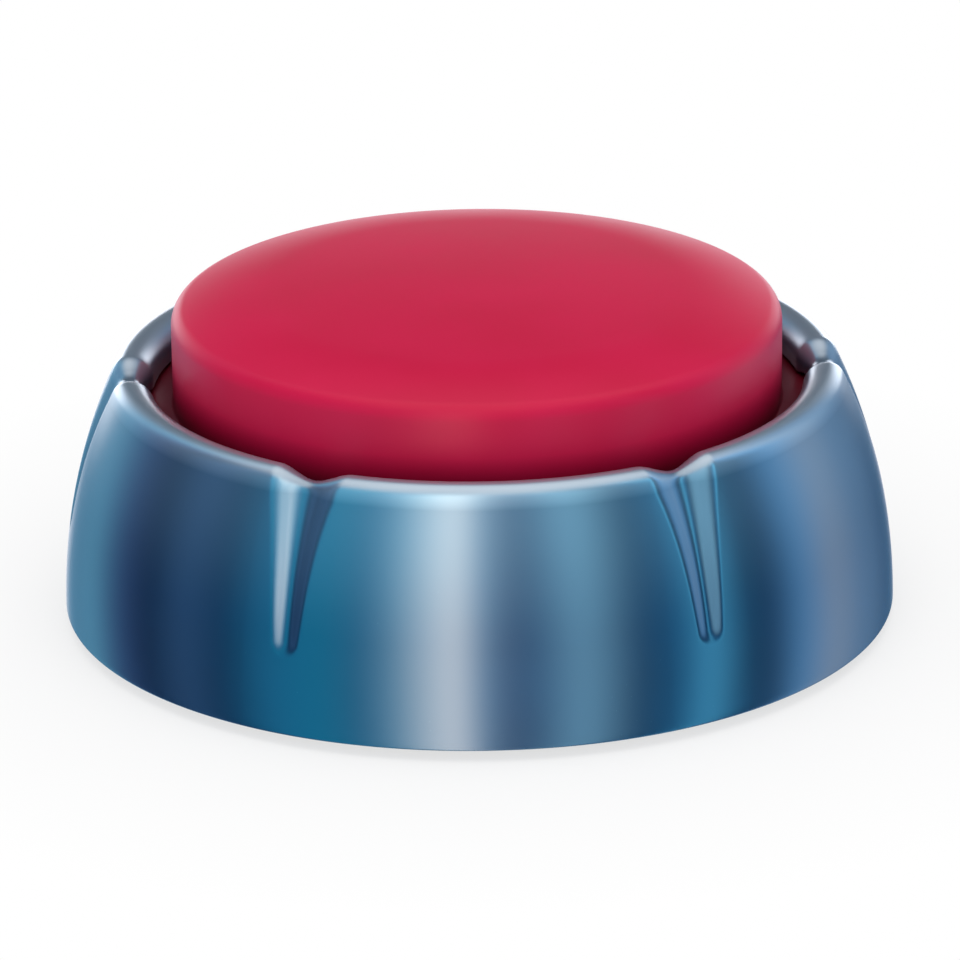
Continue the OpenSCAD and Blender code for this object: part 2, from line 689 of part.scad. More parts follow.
module speaker_basket() {
    window_l = 2.6;
    window_w = 4;
    color([0.62, 0.63, 0.65]) translate([0, -speaker_offset, speaker_z + gasket_t + cone_t]) difference() {
        rotate_extrude() polygon([
            [speaker_r, 0], [speaker_r, basket_t], [speaker_r - rim_w + 0.4, basket_t],
            [basket_back_r, basket_h], [voice_r, basket_h], [voice_r, basket_h - basket_t],
            [basket_back_r - 0.4, basket_h - basket_t], [speaker_r - rim_w, 0]]);
        for (a = [30:60:330]) rotate([0, 0, a]) translate([basket_back_r, -window_w / 2, basket_t + 0.8])
            cube([window_l, window_w, basket_h - 2 * basket_t - 1]);
    }
}

module speaker_magnet() {
    magnet_r = magnet_d / 2;
    step = 0.8;                            // the back plate is this much smaller
    color([0.25, 0.25, 0.27]) translate([0, -speaker_offset, speaker_z + gasket_t + cone_t + basket_h])
        rotate_extrude() polygon([
            [0, 0], [magnet_r, 0], [magnet_r, magnet_h - 1.2], [magnet_r - step, magnet_h - 1.2],
            [magnet_r - step, magnet_h - 0.3], [magnet_r - step - 0.3, magnet_h], [0, magnet_h]]);
}

module speaker_terminals() {
    color([0.70, 0.58, 0.30]) translate([terminal_x, -speaker_offset, terminal_z]) difference() {
        block([terminal_w, terminal_l], terminal_t);
        for (s = [-1, 1]) translate([0, s * terminal_y, -1]) cylinder(r = 0.4, h = 3, $fn = 24);
    }
}

module speaker_screws() {
    color([0.75, 0.75, 0.76]) translate([0, -speaker_offset, speaker_rim_z + close_gap])
        around(speaker_screw_angles, speaker_screw_r) {
            screw(2 * small_screw_d, 1.3 + washer_h, small_screw_d, small_screw_l - 1);
            difference() {
                cylinder(d = washer_d, h = washer_h);
                translate([0, 0, -1]) cylinder(d = small_screw_d, h = washer_h + 2);
            }
        }
}

// --- Base plate ---
// Rings of grille holes, seen from the middle of the loudspeaker
module grille() {
    cylinder(d = grille_hole_d, h = plate_t + 2, $fn = 24);
    for (ring = [1:3], i = [0:6 * ring - 1]) rotate([0, 0, i * 60 / ring])
        translate([ring * grille_pitch, 0, 0]) cylinder(d = grille_hole_d, h = plate_t + 2, $fn = 24);
}

// A block centred in x and y, standing on z = 0
module block(size, h) {
    translate([-size[0] / 2, -size[1] / 2, 0]) cube([size[0], size[1], h]);
}

module tray_walls() {
    translate([0, tray_offset, 0]) difference() {
        translate([0, 0, door_top_z]) block(tray_in + [2 * tray_t, 2 * tray_t], tray_top_z - door_top_z);
        translate([0, 0, door_top_z - 1]) block(tray_in, tray_roof_z - door_top_z + 1);
        // slots that the door's tabs pass through
        for (s = [-1, 1]) translate([-tray_in[0] / 2 - tray_t - 1, s * tab_y - tab_w / 2 - fit_gap, door_top_z - 1])
            cube([tray_t + 2, tab_w + 2 * fit_gap, tab_slot_z - door_top_z + 1]);
        // slots for the solder tabs
        for (s = [-1, 1]) translate([tray_in[0] / 2 - 1, s * cell_y - solder_tab_w / 2 - fit_gap,
            solder_z - (tab_slot_h - contact_t) / 2]) cube([tray_t + 2, solder_tab_w + 2 * fit_gap, tab_slot_h]);
    }
}

// Boss that takes the door's screw, over the lug's cut-out
module lug_boss(gap = 0) {
    half = lug_r + lug_boss_t + gap;
    start_x = tray_in[0] / 2 + tray_t - 0.5;
    translate([0, tray_offset, lug_boss_z - gap]) {
        translate([lug_x, 0, 0]) cylinder(r = half, h = lug_boss_h + 2 * gap);
        translate([start_x, -half, 0]) cube([lug_x - start_x, 2 * half, lug_boss_h + 2 * gap]);
    }
}

module base_plate() {
    color([0.10, 0.10, 0.11]) difference() {
        union() {
            difference() {
                translate([0, 0, plate_z]) cylinder(r = plate_r, h = plate_t);
                translate([0, tray_offset, plate_z - 1]) {
                    block(door_hole, plate_t + 2);
                    translate([lug_x, 0, 0]) cylinder(r = lug_r + door_gap, h = plate_t + 2);
                    translate([0, -lug_r - door_gap, 0]) cube([lug_x, 2 * (lug_r + door_gap), plate_t + 2]);
                }
            }
            // locating rim inside the housing's skirt
            translate([0, 0, plate_top_z - 0.5]) difference() {
                cylinder(r = locating_r, h = locating_h + 0.5);
                translate([0, 0, -1]) cylinder(r = locating_r - locating_t, h = locating_h + 3);
            }
            tray_walls();
            lug_boss();
            around(screw_angles, screw_ring_r) translate([0, 0, plate_z]) cylinder(r = well_r, h = well_h);
            difference() {
                around(screw_angles, pillar_ring_r)
                    translate([0, 0, plate_z + 0.5]) cylinder(d = pillar_d, h = deck_z - plate_z - 0.5);
                translate([0, tray_offset, 0]) block(door_hole, door_top_z);
            }
            translate([0, -speaker_offset, plate_z + 0.5]) {
                difference() {
                    cylinder(r = speaker_r + speaker_ring_t, h = speaker_rim_z - plate_z - 0.5 - speaker_ring_low);
                    cylinder(r = speaker_r - rim_w, h = 9);
                }
                around(speaker_screw_angles, speaker_screw_r) cylinder(d = standoff_d, h = speaker_rim_z - plate_z - 0.5);
            }
            ballast_pegs();
        }
        around(screw_angles, screw_ring_r) translate([0, 0, plate_z - 1]) {
            cylinder(r = well_bore_r, h = 1 + well_h - well_floor);
            cylinder(r = screw_hole_r, h = well_h + 2, $fn = 32);
        }
        translate([0, tray_offset, door_top_z - 1]) block(tray_in, tray_roof_z - door_top_z + 1);
        around(screw_angles, pillar_ring_r)
            translate([0, 0, deck_z - screw_l]) cylinder(r = screw_hole_r, h = screw_l + 1, $fn = 32);
        around(foot_angles, foot_ring_r)
            translate([0, 0, plate_z - 1]) cylinder(d = foot_d + 2 * close_gap, h = 1 + foot_pocket);
        translate([0, -speaker_offset, 0]) {
            translate([0, 0, plate_z - 1]) grille();
            around(speaker_screw_angles, speaker_screw_r)
                translate([0, 0, plate_z + 0.8]) cylinder(r = small_hole_r, h = 9, $fn = 32);
            translate([0, 0, speaker_z]) cylinder(r = speaker_r + fit_gap, h = 9);
        }
        translate([lug_x, tray_offset, door_top_z])
            cylinder(r = small_screw_d / 2 + door_gap, h = lug_boss_h - 1, $fn = 32);
    }
}

module base_screws() {
    color([0.75, 0.75, 0.76]) around(screw_angles, screw_ring_r)
        translate([0, 0, well_top_z - well_floor]) mirror([0, 0, 1])
            screw(screw_head_d, screw_head_h, screw_d, screw_l);
}

// --- Ballast ---
// Sector of a ring, side is 1 on the right and -1 on the left
module ring_sector(r_out, width, h, half_arc) {
    rotate([0, 0, -half_arc]) rotate_extrude(angle = 2 * half_arc) translate([r_out - width, 0]) square([width, h]);
}

module on_side(side) {
    mirror([side < 0 ? 1 : 0, 0, 0]) rotate([0, 0, ballast_turn]) children();
}

module peg_places() {
    for (s = [-1, 1]) rotate([0, 0, s * peg_turn]) translate([ballast_out_r - ballast_w / 2, 0, 0]) children();
}

module ballast_pegs() {
    for (side = [-1, 1]) on_side(side) peg_places() {
        translate([0, 0, plate_top_z - 0.5]) cylinder(d = peg_d, h = ballast_t + 0.5 + peg_head_h);
        translate([0, 0, plate_top_z + ballast_t + close_gap]) cylinder(d = peg_head_d, h = peg_head_h);
    }
}

module ballast(side) {
    color([0.48, 0.49, 0.51]) difference() {
        on_side(side) translate([0, 0, plate_top_z]) difference() {
            ring_sector(ballast_out_r, ballast_w, ballast_t, ballast_arc / 2);
            peg_places() translate([0, 0, -1]) cylinder(d = peg_d + 2 * close_gap, h = ballast_t + 2);
        }
        ballast_bounds();
    }
}

// What the ballast stays clear of
module ballast_bounds() {
    lug_boss(fit_gap);
    translate([0, tray_offset, 0]) {
        block(tray_in + 2 * [tray_t + fit_gap, tray_t + fit_gap], tray_top_z);
        translate([door_low_x - tab_reach - 2 * door_gap, -tab_y - tab_w / 2 - door_gap, 0])
            cube([tab_reach, 2 * (tab_y + tab_w / 2 + door_gap), tray_top_z]);
    }
}

// --- Battery door, its screw, cells and contacts ---
module battery_door() {
    color([0.10, 0.10, 0.11]) translate([0, tray_offset, 0]) difference() {
        union() {
            translate([hinge_x, -door_size[1] / 2, plate_z]) cube([door_size[0] - nose_r, door_size[1], door_t]);
            translate([hinge_x, door_size[1] / 2, hinge_z]) rotate([90, 0, 0]) cylinder(r = nose_r, h = door_size[1]);
            translate([lug_x, 0, plate_z]) cylinder(r = lug_r, h = door_t);
            translate([0, -lug_r, plate_z]) cube([lug_x, 2 * lug_r, door_t]);
            for (s = [-1, 1]) translate([0, s * tab_y - tab_w / 2, 0]) {
                translate([hinge_x - 0.1, 0, door_top_z - 0.5])
                    cube([tab_root_t, tab_w, tab_z + tab_t - door_top_z + 0.5]);
                translate([door_low_x - tab_reach, 0, tab_z])
                    cube([tab_reach + nose_r + tab_root_t - 0.1, tab_w, tab_t]);
            }
        }
        translate([lug_x, 0, plate_z - 1]) {
            cylinder(r = door_head_d / 2 + fit_gap, h = 1 + door_head_z - plate_z);
            cylinder(r = small_hole_r, h = door_t + 2, $fn = 32);
        }
        for (i = [0:2]) translate([door_size[0] / 2 - 5 - 1.8 * i, -5, plate_z - 1])
            cube([0.8, 10, 1 + grip_h]);
    }
}

module door_screw() {
    color([0.75, 0.75, 0.76]) translate([lug_x, tray_offset, door_head_z]) mirror([0, 0, 1])
        screw(door_head_d, door_head_h, small_screw_d, door_shank_l);
}

// A cell along X; its nub points to +X when flip is 1
module battery(flip) {
    nub_l = 1;
    color([0.20, 0.42, 0.30]) translate([0, tray_offset - flip * cell_y, cell_z])
        rotate([0, flip * 90, 0]) translate([0, 0, -cell_l / 2]) rotate_extrude() polygon([
            [0, 0], [cell_d / 2 - 0.8, 0], [cell_d / 2, 0.4], [cell_d / 2, cell_l - nub_l - 0.5],
            [cell_d / 2 - 0.6, cell_l - nub_l], [1.9, cell_l - nub_l], [1.9, cell_l], [0, cell_l]]);
}

// A contact plate against an end wall of the tray; end is 1 at +X and -1 at -X
module contact_plate(end, y, width) {
    x = end * (tray_in[0] / 2 - contact_t / 2 - close_gap);
    translate([x, tray_offset + y, cell_z - 2.6]) block([contact_t, width], 7);
}

// A conical spring that presses on a cell's flat end
module contact_spring(end, y) {
    reach = contact_room / 2 - contact_t - 2 * close_gap;
    translate([end * (tray_in[0] / 2 - contact_t - close_gap + 0.15), tray_offset + y, cell_z])
        rotate([0, -end * 90, 0]) coil(3, 1.8, 0.5, reach + 0.15, 3, 12);
}

module contact_nub(end, y) {
    reach = contact_room / 2 - contact_t - 2 * close_gap;
    translate([end * (tray_in[0] / 2 - contact_t - close_gap + 0.1), tray_offset + y, cell_z])
        rotate([0, -end * 90, 0]) cylinder(r1 = 2.6, r2 = 1.6, h = reach);
}

module solder_tab(y) {
    translate([tray_in[0] / 2 - contact_t, tray_offset + y - solder_tab_w / 2, solder_z])
        cube([contact_t + tray_t + solder_reach, solder_tab_w, contact_t]);
}

module contact_bridge() {
    color([0.80, 0.80, 0.78]) {
        contact_plate(-1, 0, 2 * cell_y + contact_w);
        contact_spring(-1, -cell_y);
        contact_nub(-1, cell_y);
    }
}

module contact_negative() {
    color([0.80, 0.80, 0.78]) {
        contact_plate(1, cell_y, contact_w);
        contact_spring(1, cell_y);
        solder_tab(cell_y);
    }
}

module contact_positive() {
    color([0.80, 0.80, 0.78]) {
        contact_plate(1, -cell_y, contact_w);
        contact_nub(1, -cell_y);
        solder_tab(-cell_y);
    }
}

// --- Feet ---
module rubber_foot(i) {
    color([0.16, 0.16, 0.17]) around([foot_angles[i]], foot_ring_r) rotate_extrude() polygon(concat(
        [[0, foot_top_z], [foot_d / 2, foot_top_z]],
        arc([foot_d / 2 - 0.6, 0.6], 0.6, 0, -90, 4), [[0, 0]]));
}

// --- Leads ---
// Point of the deck's underside at a lead hole
function hole_at(hole) = [hole[0] * sin(hole[1]), -hole[0] * cos(hole[1]), deck_z];

// A lead from start up through the deck at hole, then over and down onto the board at pad;
// leave and come are how far it runs straight from start and back from pad
module lead(start, leave, hole, come, pad, ref) {
    above = hole + [0, 0, deck_t];
    tube(concat(
        bend(start, start + leave, hole - [0, 0, 5], hole, wire_steps),
        bend(above, above + [0, 0, 4], pad + come, pad, wire_steps)), wire_r, 8, ref);
}

module speaker_wires() {
    for (s = [-1, 1]) color(s < 0 ? "crimson" : "black")
        lead([terminal_x, s * terminal_y - speaker_offset, terminal_z + terminal_t + 2 * close_gap], [0, 0, 4],
            hole_at(speaker_hole) + [s * 0.4, s * 0.7, 0],
            [0, -2, 4], [speaker_pads[0] + s * 1.6, speaker_pads[1], board_top_z + solder_gap], [1, 0.2, 0]);
}

module battery_wires() {
    for (s = [-1, 1]) color(s < 0 ? "crimson" : "black")
        lead([tray_in[0] / 2 + tray_t + 1.4, tray_offset + s * cell_y, solder_z + contact_t + wire_r], [4, 0, 0],
            hole_at(battery_hole) + [s * 0.7, s * 0.35, 0],
            [2, 0, 4], [board_d / 2 - 2.6, s * 1.8 - 1, board_top_z + solder_gap], [1, 1, -0.3]);
}

housing();
button_cap();
return_spring(0);  // return_spring_1
return_spring(1);  // return_spring_2
return_spring(2);  // return_spring_3
switch_deck();
rubber_dome();
circuit_board();
chip_blob();
board_parts();
board_screws();
deck_screws();
speaker_basket();
speaker_magnet();
speaker_cone();
speaker_gasket();
speaker_terminals();
speaker_screws();
base_plate();
battery_door();
door_screw();
battery(1);  // battery_1
battery(-1);  // battery_2
contact_bridge();
contact_negative();
contact_positive();
ballast(-1);  // ballast_left
ballast(1);  // ballast_right
rubber_foot(0);  // rubber_foot_1
rubber_foot(1);  // rubber_foot_2
rubber_foot(2);  // rubber_foot_3
rubber_foot(3);  // rubber_foot_4
base_screws();
speaker_wires();
battery_wires();
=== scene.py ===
"""A quiz buzzer: a crowned red push button in a lacquered, fluted round housing."""

import logging
import math
from dataclasses import dataclass, field
from enum import Enum
from typing import Any, Sequence

import bmesh
import bpy
import numpy as np
from mathutils import Matrix, Vector

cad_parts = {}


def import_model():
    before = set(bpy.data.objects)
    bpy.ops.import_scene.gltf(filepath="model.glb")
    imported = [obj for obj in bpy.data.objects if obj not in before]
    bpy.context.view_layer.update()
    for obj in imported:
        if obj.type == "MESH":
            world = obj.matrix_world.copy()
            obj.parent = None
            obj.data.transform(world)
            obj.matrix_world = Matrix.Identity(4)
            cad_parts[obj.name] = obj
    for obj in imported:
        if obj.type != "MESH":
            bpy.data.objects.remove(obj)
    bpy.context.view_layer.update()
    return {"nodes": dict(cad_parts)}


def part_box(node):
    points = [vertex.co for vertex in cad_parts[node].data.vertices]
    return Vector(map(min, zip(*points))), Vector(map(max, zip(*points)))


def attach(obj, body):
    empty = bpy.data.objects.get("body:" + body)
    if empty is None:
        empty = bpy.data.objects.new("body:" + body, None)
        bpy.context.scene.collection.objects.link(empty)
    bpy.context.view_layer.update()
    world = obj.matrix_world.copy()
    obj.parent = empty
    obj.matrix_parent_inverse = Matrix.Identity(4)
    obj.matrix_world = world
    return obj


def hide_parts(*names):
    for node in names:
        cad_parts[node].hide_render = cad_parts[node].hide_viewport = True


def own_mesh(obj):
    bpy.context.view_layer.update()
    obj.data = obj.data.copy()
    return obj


LOG = logging.getLogger("buzzer")
MM = 0.001
Point = Sequence[float]
Profile = list[tuple[float, float]]


class Body(Enum):
    """The moving groups that a piece can ride on."""

    BASE = "base"
    BUTTON = "button"
    DOOR = "door"


# --- Colour and node helpers ---
def linear(code: str) -> tuple[float, float, float, float]:
    """Turns an sRGB hex colour into linear RGBA.

    Args:
        code: Six hex digits, with or without a leading hash.

    Returns:
        Linear red, green and blue, with an alpha of 1.
    """
    digits = code.lstrip("#")
    parts = [int(digits[i : i + 2], 16) / 255 for i in (0, 2, 4)]
    values = [c / 12.92 if c <= 0.04045 else ((c + 0.055) / 1.055) ** 2.4 for c in parts]
    return (values[0], values[1], values[2], 1.0)


def add_node(tree: bpy.types.NodeTree, kind: str, links: dict[Any, Any] | None = None, **settings: Any) -> Any:
    """Adds a node, sets its properties and fills its inputs.

    Args:
        tree: The node tree to add to.
        kind: Blender's name for the type of node.
        links: What goes into each input, by name or number: a value, or a socket to link from.
        **settings: Properties of the node itself.

    Returns:
        The new node.
    """
    node = tree.nodes.new(kind)
    for name, value in settings.items():
        setattr(node, name, value)
    for key, value in (links or {}).items():
        if isinstance(value, bpy.types.NodeSocket):
            tree.links.new(value, node.inputs[key])
        else:
            node.inputs[key].default_value = value
    return node


def ramp(tree: bpy.types.NodeTree, source: Any, stops: Sequence[tuple[float, Any]], mode: str = "LINEAR") -> Any:
    """Adds a colour ramp.

    Args:
        tree: The node tree to add to.
        source: The socket that drives the ramp.
        stops: Places from 0 to 1, each with a hex colour or a linear RGBA.
        mode: How the ramp passes from stop to stop.

    Returns:
        The ramp's colour socket.
    """
    node = add_node(tree, "ShaderNodeValToRGB", {"Fac": source})
    node.color_ramp.interpolation = mode
    elements = node.color_ramp.elements
    while len(elements) < len(stops):
        elements.new(0.5)
    for element, (place, colour) in zip(elements, stops):
        element.position = place
        element.color = linear(colour) if isinstance(colour, str) else colour
    return node.outputs["Color"]


def mix(tree: bpy.types.NodeTree, share: Any, below: Any, above: Any) -> Any:
    """Lays one colour over another by a share and returns the colour socket."""
    links = {"Factor": share, "A": below, "B": above}
    return add_node(tree, "ShaderNodeMix", links, data_type="RGBA").outputs["Result"]


def maths(tree: bpy.types.NodeTree, operation: str, *values: Any) -> Any:
    """Does one sum on numbers or sockets and returns its socket."""
    return add_node(tree, "ShaderNodeMath", dict(enumerate(values)), operation=operation).outputs[0]


def rescale(
    tree: bpy.types.NodeTree, value: Any, source: Sequence[float], target: Sequence[float] = (0.0, 1.0), **settings: Any
) -> Any:
    """Maps a value from one range to another, held at both ends, and returns its socket."""
    links = {"Value": value, "From Min": source[0], "From Max": source[1], "To Min": target[0], "To Max": target[1]}
    return add_node(tree, "ShaderNodeMapRange", links, **settings).outputs["Result"]


# --- Finishes ---
CLOUD_DETAIL = 2.0
CLOUD_SPAN = (0.3, 0.7)  # part of the cloud noise that roughness follows


@dataclass(frozen=True)
class Finish:
    """One real surface: its colours, its gloss and its texture, with lengths in millimetres."""

    name: str
    slot: str
    colours: tuple[str, str]
    roughness: tuple[float, float]
    grain_mm: float
    bump_mm: float
    grain_detail: float = 3.0
    metallic: float = 0.0
    ior: float = 1.5
    coat: float = 0.0
    coat_roughness: float = 0.1
    coat_ior: float = 1.5
    cloud_mm: float = 14.0
    stretch: tuple[float, float, float] = (1.0, 1.0, 1.0)
    sheen: float = 0.0

    def build(self) -> bpy.types.Material:
        """Builds the material's nodes.

        Returns:
            A material that reads Object coordinates in millimetres.
        """
        material = bpy.data.materials.new(self.name)
        material.use_nodes = True
        tree = material.node_tree
        tree.nodes.clear()
        place = add_node(tree, "ShaderNodeTexCoord").outputs["Object"]
        in_mm = {"Vector": place, "Scale": tuple(s / MM for s in self.stretch)}
        scaled = add_node(tree, "ShaderNodeMapping", in_mm).outputs["Vector"]
        cloud, grain = (
            add_node(tree, "ShaderNodeTexNoise", {"Vector": scaled, "Scale": 1 / size, "Detail": detail}).outputs["Fac"]
            for size, detail in ((self.cloud_mm, CLOUD_DETAIL), (self.grain_mm, self.grain_detail))
        )
        colour = self.colour(tree, scaled, cloud, grain)
        rough = rescale(tree, cloud, CLOUD_SPAN, self.roughness)
        bump = add_node(
            tree, "ShaderNodeBump", {"Height": grain, "Distance": self.bump_mm * MM, "Strength": 1.0}
        ).outputs["Normal"]
        shader = add_node(
            tree,
            "ShaderNodeBsdfPrincipled",
            {
                "Base Color": colour,
                "Roughness": rough,
                "Metallic": self.metallic,
                "Normal": bump,
                "IOR": self.ior,
                "Coat Weight": self.coat,
                "Coat Roughness": self.coat_roughness,
                "Coat IOR": self.coat_ior,
                "Sheen Weight": self.sheen,
            },
        )
        add_node(tree, "ShaderNodeOutputMaterial", {"Surface": shader.outputs["BSDF"]})
        return material

    def colour(self, tree: bpy.types.NodeTree, place: Any, cloud: Any, grain: Any) -> Any:
        """Mixes the two colours by the cloud pattern.

        Args:
            tree: The material's tree.
            place: Object coordinates in millimetres.
            cloud: The broad pattern.
            grain: The fine pattern; not used.

        Returns:
            The colour socket.
        """
        return ramp(tree, cloud, [(0.35, self.colours[0]), (0.65, self.colours[1])])


@dataclass(frozen=True)
class PearlLacquer(Finish):
    """A pearl base coat under clear lacquer on moulded plastic, with sparse fine flakes and painted highlights that
    lighten the wall towards the rim and on the rim crest.
    """

    flake_mm: float = 0.55
    flake: str = "8FB4CC"
    # painted highlight: the upper wall is lightened towards the rim, standing in for reflected light
    painted_highlight_z: tuple[float, float] = (12.0, 27.0)
    painted_highlight: str = "46637C"
    # painted highlight: the rim crest is lightened to a pale steel, standing in for the bright reflection along the rim
    painted_rim_highlight_z: tuple[float, float] = (27.2, 29.5)
    painted_rim_highlight: str = "92A8BA"

    def colour(self, tree: bpy.types.NodeTree, place: Any, cloud: Any, grain: Any) -> Any:
        """Adds sparse pale flakes to the clouded pearl, lightened by a painted highlight up the wall towards the rim
        and a brighter painted highlight on the rim crest.
        """
        deep = super().colour(tree, place, cloud, grain)
        up = add_node(tree, "ShaderNodeSeparateXYZ", {"Vector": place}).outputs["Z"]
        # painted highlight: lightens the wall more the higher it is
        highlight_share = rescale(tree, up, self.painted_highlight_z, interpolation_type="SMOOTHSTEP")
        highlighted = mix(tree, highlight_share, deep, linear(self.painted_highlight))
        # painted highlight on the rim crest
        base = mix(tree, rescale(tree, up, self.painted_rim_highlight_z), highlighted, linear(self.painted_rim_highlight))
        cells = add_node(tree, "ShaderNodeTexVoronoi", {"Vector": place, "Scale": 1 / self.flake_mm})
        spot = ramp(tree, cells.outputs["Distance"], [(0.06, "FFFFFF"), (0.12, "000000")])
        rare = ramp(tree, cells.outputs["Color"], [(0.86, "000000"), (0.9, "5A5A5A")])
        return mix(tree, maths(tree, "MULTIPLY", spot, rare), base, linear(self.flake))


@dataclass(frozen=True)
class CapPlastic(Finish):
    """The button's red plastic, with painted shade that darkens it down towards the flange, where the gap under the rim
    lies in shade.
    """

    # painted shade: below these heights the red darkens towards the flange, as if shaded in the gap under the rim
    painted_shade_z: tuple[float, float] = (26.0, 30.5)
    painted_shade_colour: str = "560819"

    def colour(self, tree: bpy.types.NodeTree, place: Any, cloud: Any, grain: Any) -> Any:
        """Darkens the plain colour towards the flange with painted shade; see Finish.colour."""
        polished = super().colour(tree, place, cloud, grain)
        up = add_node(tree, "ShaderNodeSeparateXYZ", {"Vector": place}).outputs["Z"]
        # painted shade towards the flange
        return mix(tree, rescale(tree, up, self.painted_shade_z), linear(self.painted_shade_colour), polished)


@dataclass(frozen=True)
class CellSleeve(Finish):
    """The printed metallised film round a cell, with bare steel at both ends."""

    ends_mm: float = 21.0
    band_from: float = 0.45  # where the band starts, as a share of ends_mm
    band: str = "B08A3C"
    steel: str = "B9BABB"

    def colour(self, tree: bpy.types.NodeTree, place: Any, cloud: Any, grain: Any) -> Any:
        """Shows bare ends and one broad band along the cell's length."""
        base = super().colour(tree, place, cloud, grain)
        along = add_node(tree, "ShaderNodeSeparateXYZ", {"Vector": place}).outputs["X"]
        band = maths(tree, "GREATER_THAN", along, self.ends_mm * self.band_from)
        bare = maths(tree, "GREATER_THAN", maths(tree, "ABSOLUTE", along), self.ends_mm)
        return mix(tree, bare, mix(tree, band, base, linear(self.band)), linear(self.steel))


@dataclass(frozen=True)
class LeadCover(Finish):
    """Extruded covers on the leads: one lead red, the other black, told apart by side."""

    split_axis: str = "Y"
    split_mm: float = 0.0

    def colour(self, tree: bpy.types.NodeTree, place: Any, cloud: Any, grain: Any) -> Any:
        """Picks red or black by which side of the split a point lies on."""
        side = add_node(tree, "ShaderNodeSeparateXYZ", {"Vector": place}).outputs[self.split_axis]
        share = maths(tree, "GREATER_THAN", side, self.split_mm)
        return mix(tree, share, linear(self.colours[0]), linear(self.colours[1]))


# Automotive-style pearl base under clear coat: broad soft reflections over a deep teal body
LACQUER = PearlLacquer(
    "PearlLacquer", "housing_lacquer", ("0A3456", "0C3A5E"), (0.30, 0.34), 2.6, 0.002,
    metallic=0.6, coat=1.0, coat_roughness=0.23, coat_ior=1.8, cloud_mm=20.0,
)
# Moulded ABS with a satin polish: deep red, soft broad sheen
BUTTON_ABS = CapPlastic(
    "SatinRedAbs", "button_red", ("C7083F", "CC0844"), (0.36, 0.42), 0.5, 0.002, cloud_mm=16.0, ior=1.33,
)
# Injection moulded ABS from a spark-eroded tool: near black with a fine even grain
BLACK_ABS = Finish("ErodedBlackAbs", "base_plastic", ("17181A", "1C1D1F"), (0.5, 0.6), 0.35, 0.018)
# The same plastic from a polished tool, for the inner deck
DECK_ABS = Finish("MouldedDeckAbs", "deck_plastic", ("1E1F21", "242527"), (0.42, 0.5), 0.6, 0.008)
# Drawn spring wire: bright, drawn lines run round the wire
SPRING_WIRE = Finish("DrawnSpringWire", "spring_steel", ("A9ABAD", "BFC1C3"), (0.22, 0.32), 0.4, 0.002, metallic=1.0)
# Zinc-plated screws: slightly blue bright steel
SCREW_ZINC = Finish("ZincPlatedScrew", "screw_steel", ("A4A8AC", "B9BCC0"), (0.26, 0.38), 0.3, 0.003, metallic=1.0)
# Stamped basket: plated sheet steel with faint rolling marks
BASKET_SHEET = Finish(
    "StampedBasketSteel", "basket_steel", ("8E9296", "A6A9AD"), (0.3, 0.42), 0.5, 0.004,
    metallic=1.0, stretch=(1.0, 0.15, 1.0),
)
# Sintered strontium ferrite: ground, dull and nearly black
FERRITE = Finish("GroundFerrite", "magnet_ferrite", ("2A2A2D", "363639"), (0.55, 0.7), 0.3, 0.01)
# Pressed paper pulp, dyed black
CONE_PAPER = Finish("PressedPaperPulp", "cone_paper", ("151516", "202021"), (0.8, 0.9), 0.5, 0.03)
# Die-cut grey-brown board
GASKET_BOARD = Finish("DieCutBoard", "gasket_card", ("7A6248", "8F765A"), (0.8, 0.9), 0.4, 0.02)
# Phenolic paper board of the terminal strip
PHENOLIC = Finish("PhenolicStrip", "terminal_board", ("7B4F22", "8C5C2C"), (0.4, 0.5), 0.4, 0.006)
# Glass-epoxy board under green solder mask
SOLDER_MASK = Finish("SolderMask", "board_mask", ("0E4A22", "14582B"), (0.25, 0.35), 0.8, 0.004)
# Drop of black epoxy over the bare chip
CHIP_EPOXY = Finish("ChipEpoxy", "chip_epoxy", ("0D0D0E", "151516"), (0.18, 0.3), 1.2, 0.01)
# Dipped and baked bodies of the small parts
DIPPED_BODY = Finish("DippedLacquerBody", "part_body", ("B49263", "C4A577"), (0.3, 0.4), 0.6, 0.006)
# Silicone rubber, translucent white gone grey in the press
SILICONE = Finish("MouldedSilicone", "dome_silicone", ("C9C8C3", "D6D5D1"), (0.55, 0.65), 0.5, 0.006, sheen=0.1)
# Carbon-filled rubber feet with a dull skin
FOOT_RUBBER = Finish("MouldedFootRubber", "foot_rubber", ("1B1B1C", "242425"), (0.75, 0.88), 0.4, 0.015)
# Sheared mild steel, oiled
BALLAST_STEEL = Finish(
    "ShearedMildSteel", "ballast_steel", ("5D6064", "74777B"), (0.35, 0.5), 0.6, 0.006, metallic=1.0,
)
# Nickel-plated phosphor bronze
NICKEL_STRIP = Finish("NickelPlatedStrip", "contact_nickel", ("B7B3A6", "C9C5B8"), (0.2, 0.3), 0.4, 0.002, metallic=1.0)
# Metallised film shrunk round the cell
CELL_FILM = CellSleeve("CellFilm", "cell_sleeve", ("1D5A3C", "226645"), (0.25, 0.35), 0.8, 0.002, metallic=0.6)
# PVC-covered hook-up leads
LOUDSPEAKER_LEADS = LeadCover(
    "LoudspeakerLeadPvc", "lead_cover", ("9E1A1A", "18181A"), (0.35, 0.45), 0.6, 0.004, split_mm=-18.0,
)
BATTERY_LEADS = LeadCover("BatteryLeadPvc", "lead_cover", ("9E1A1A", "18181A"), (0.35, 0.45), 0.6, 0.004)

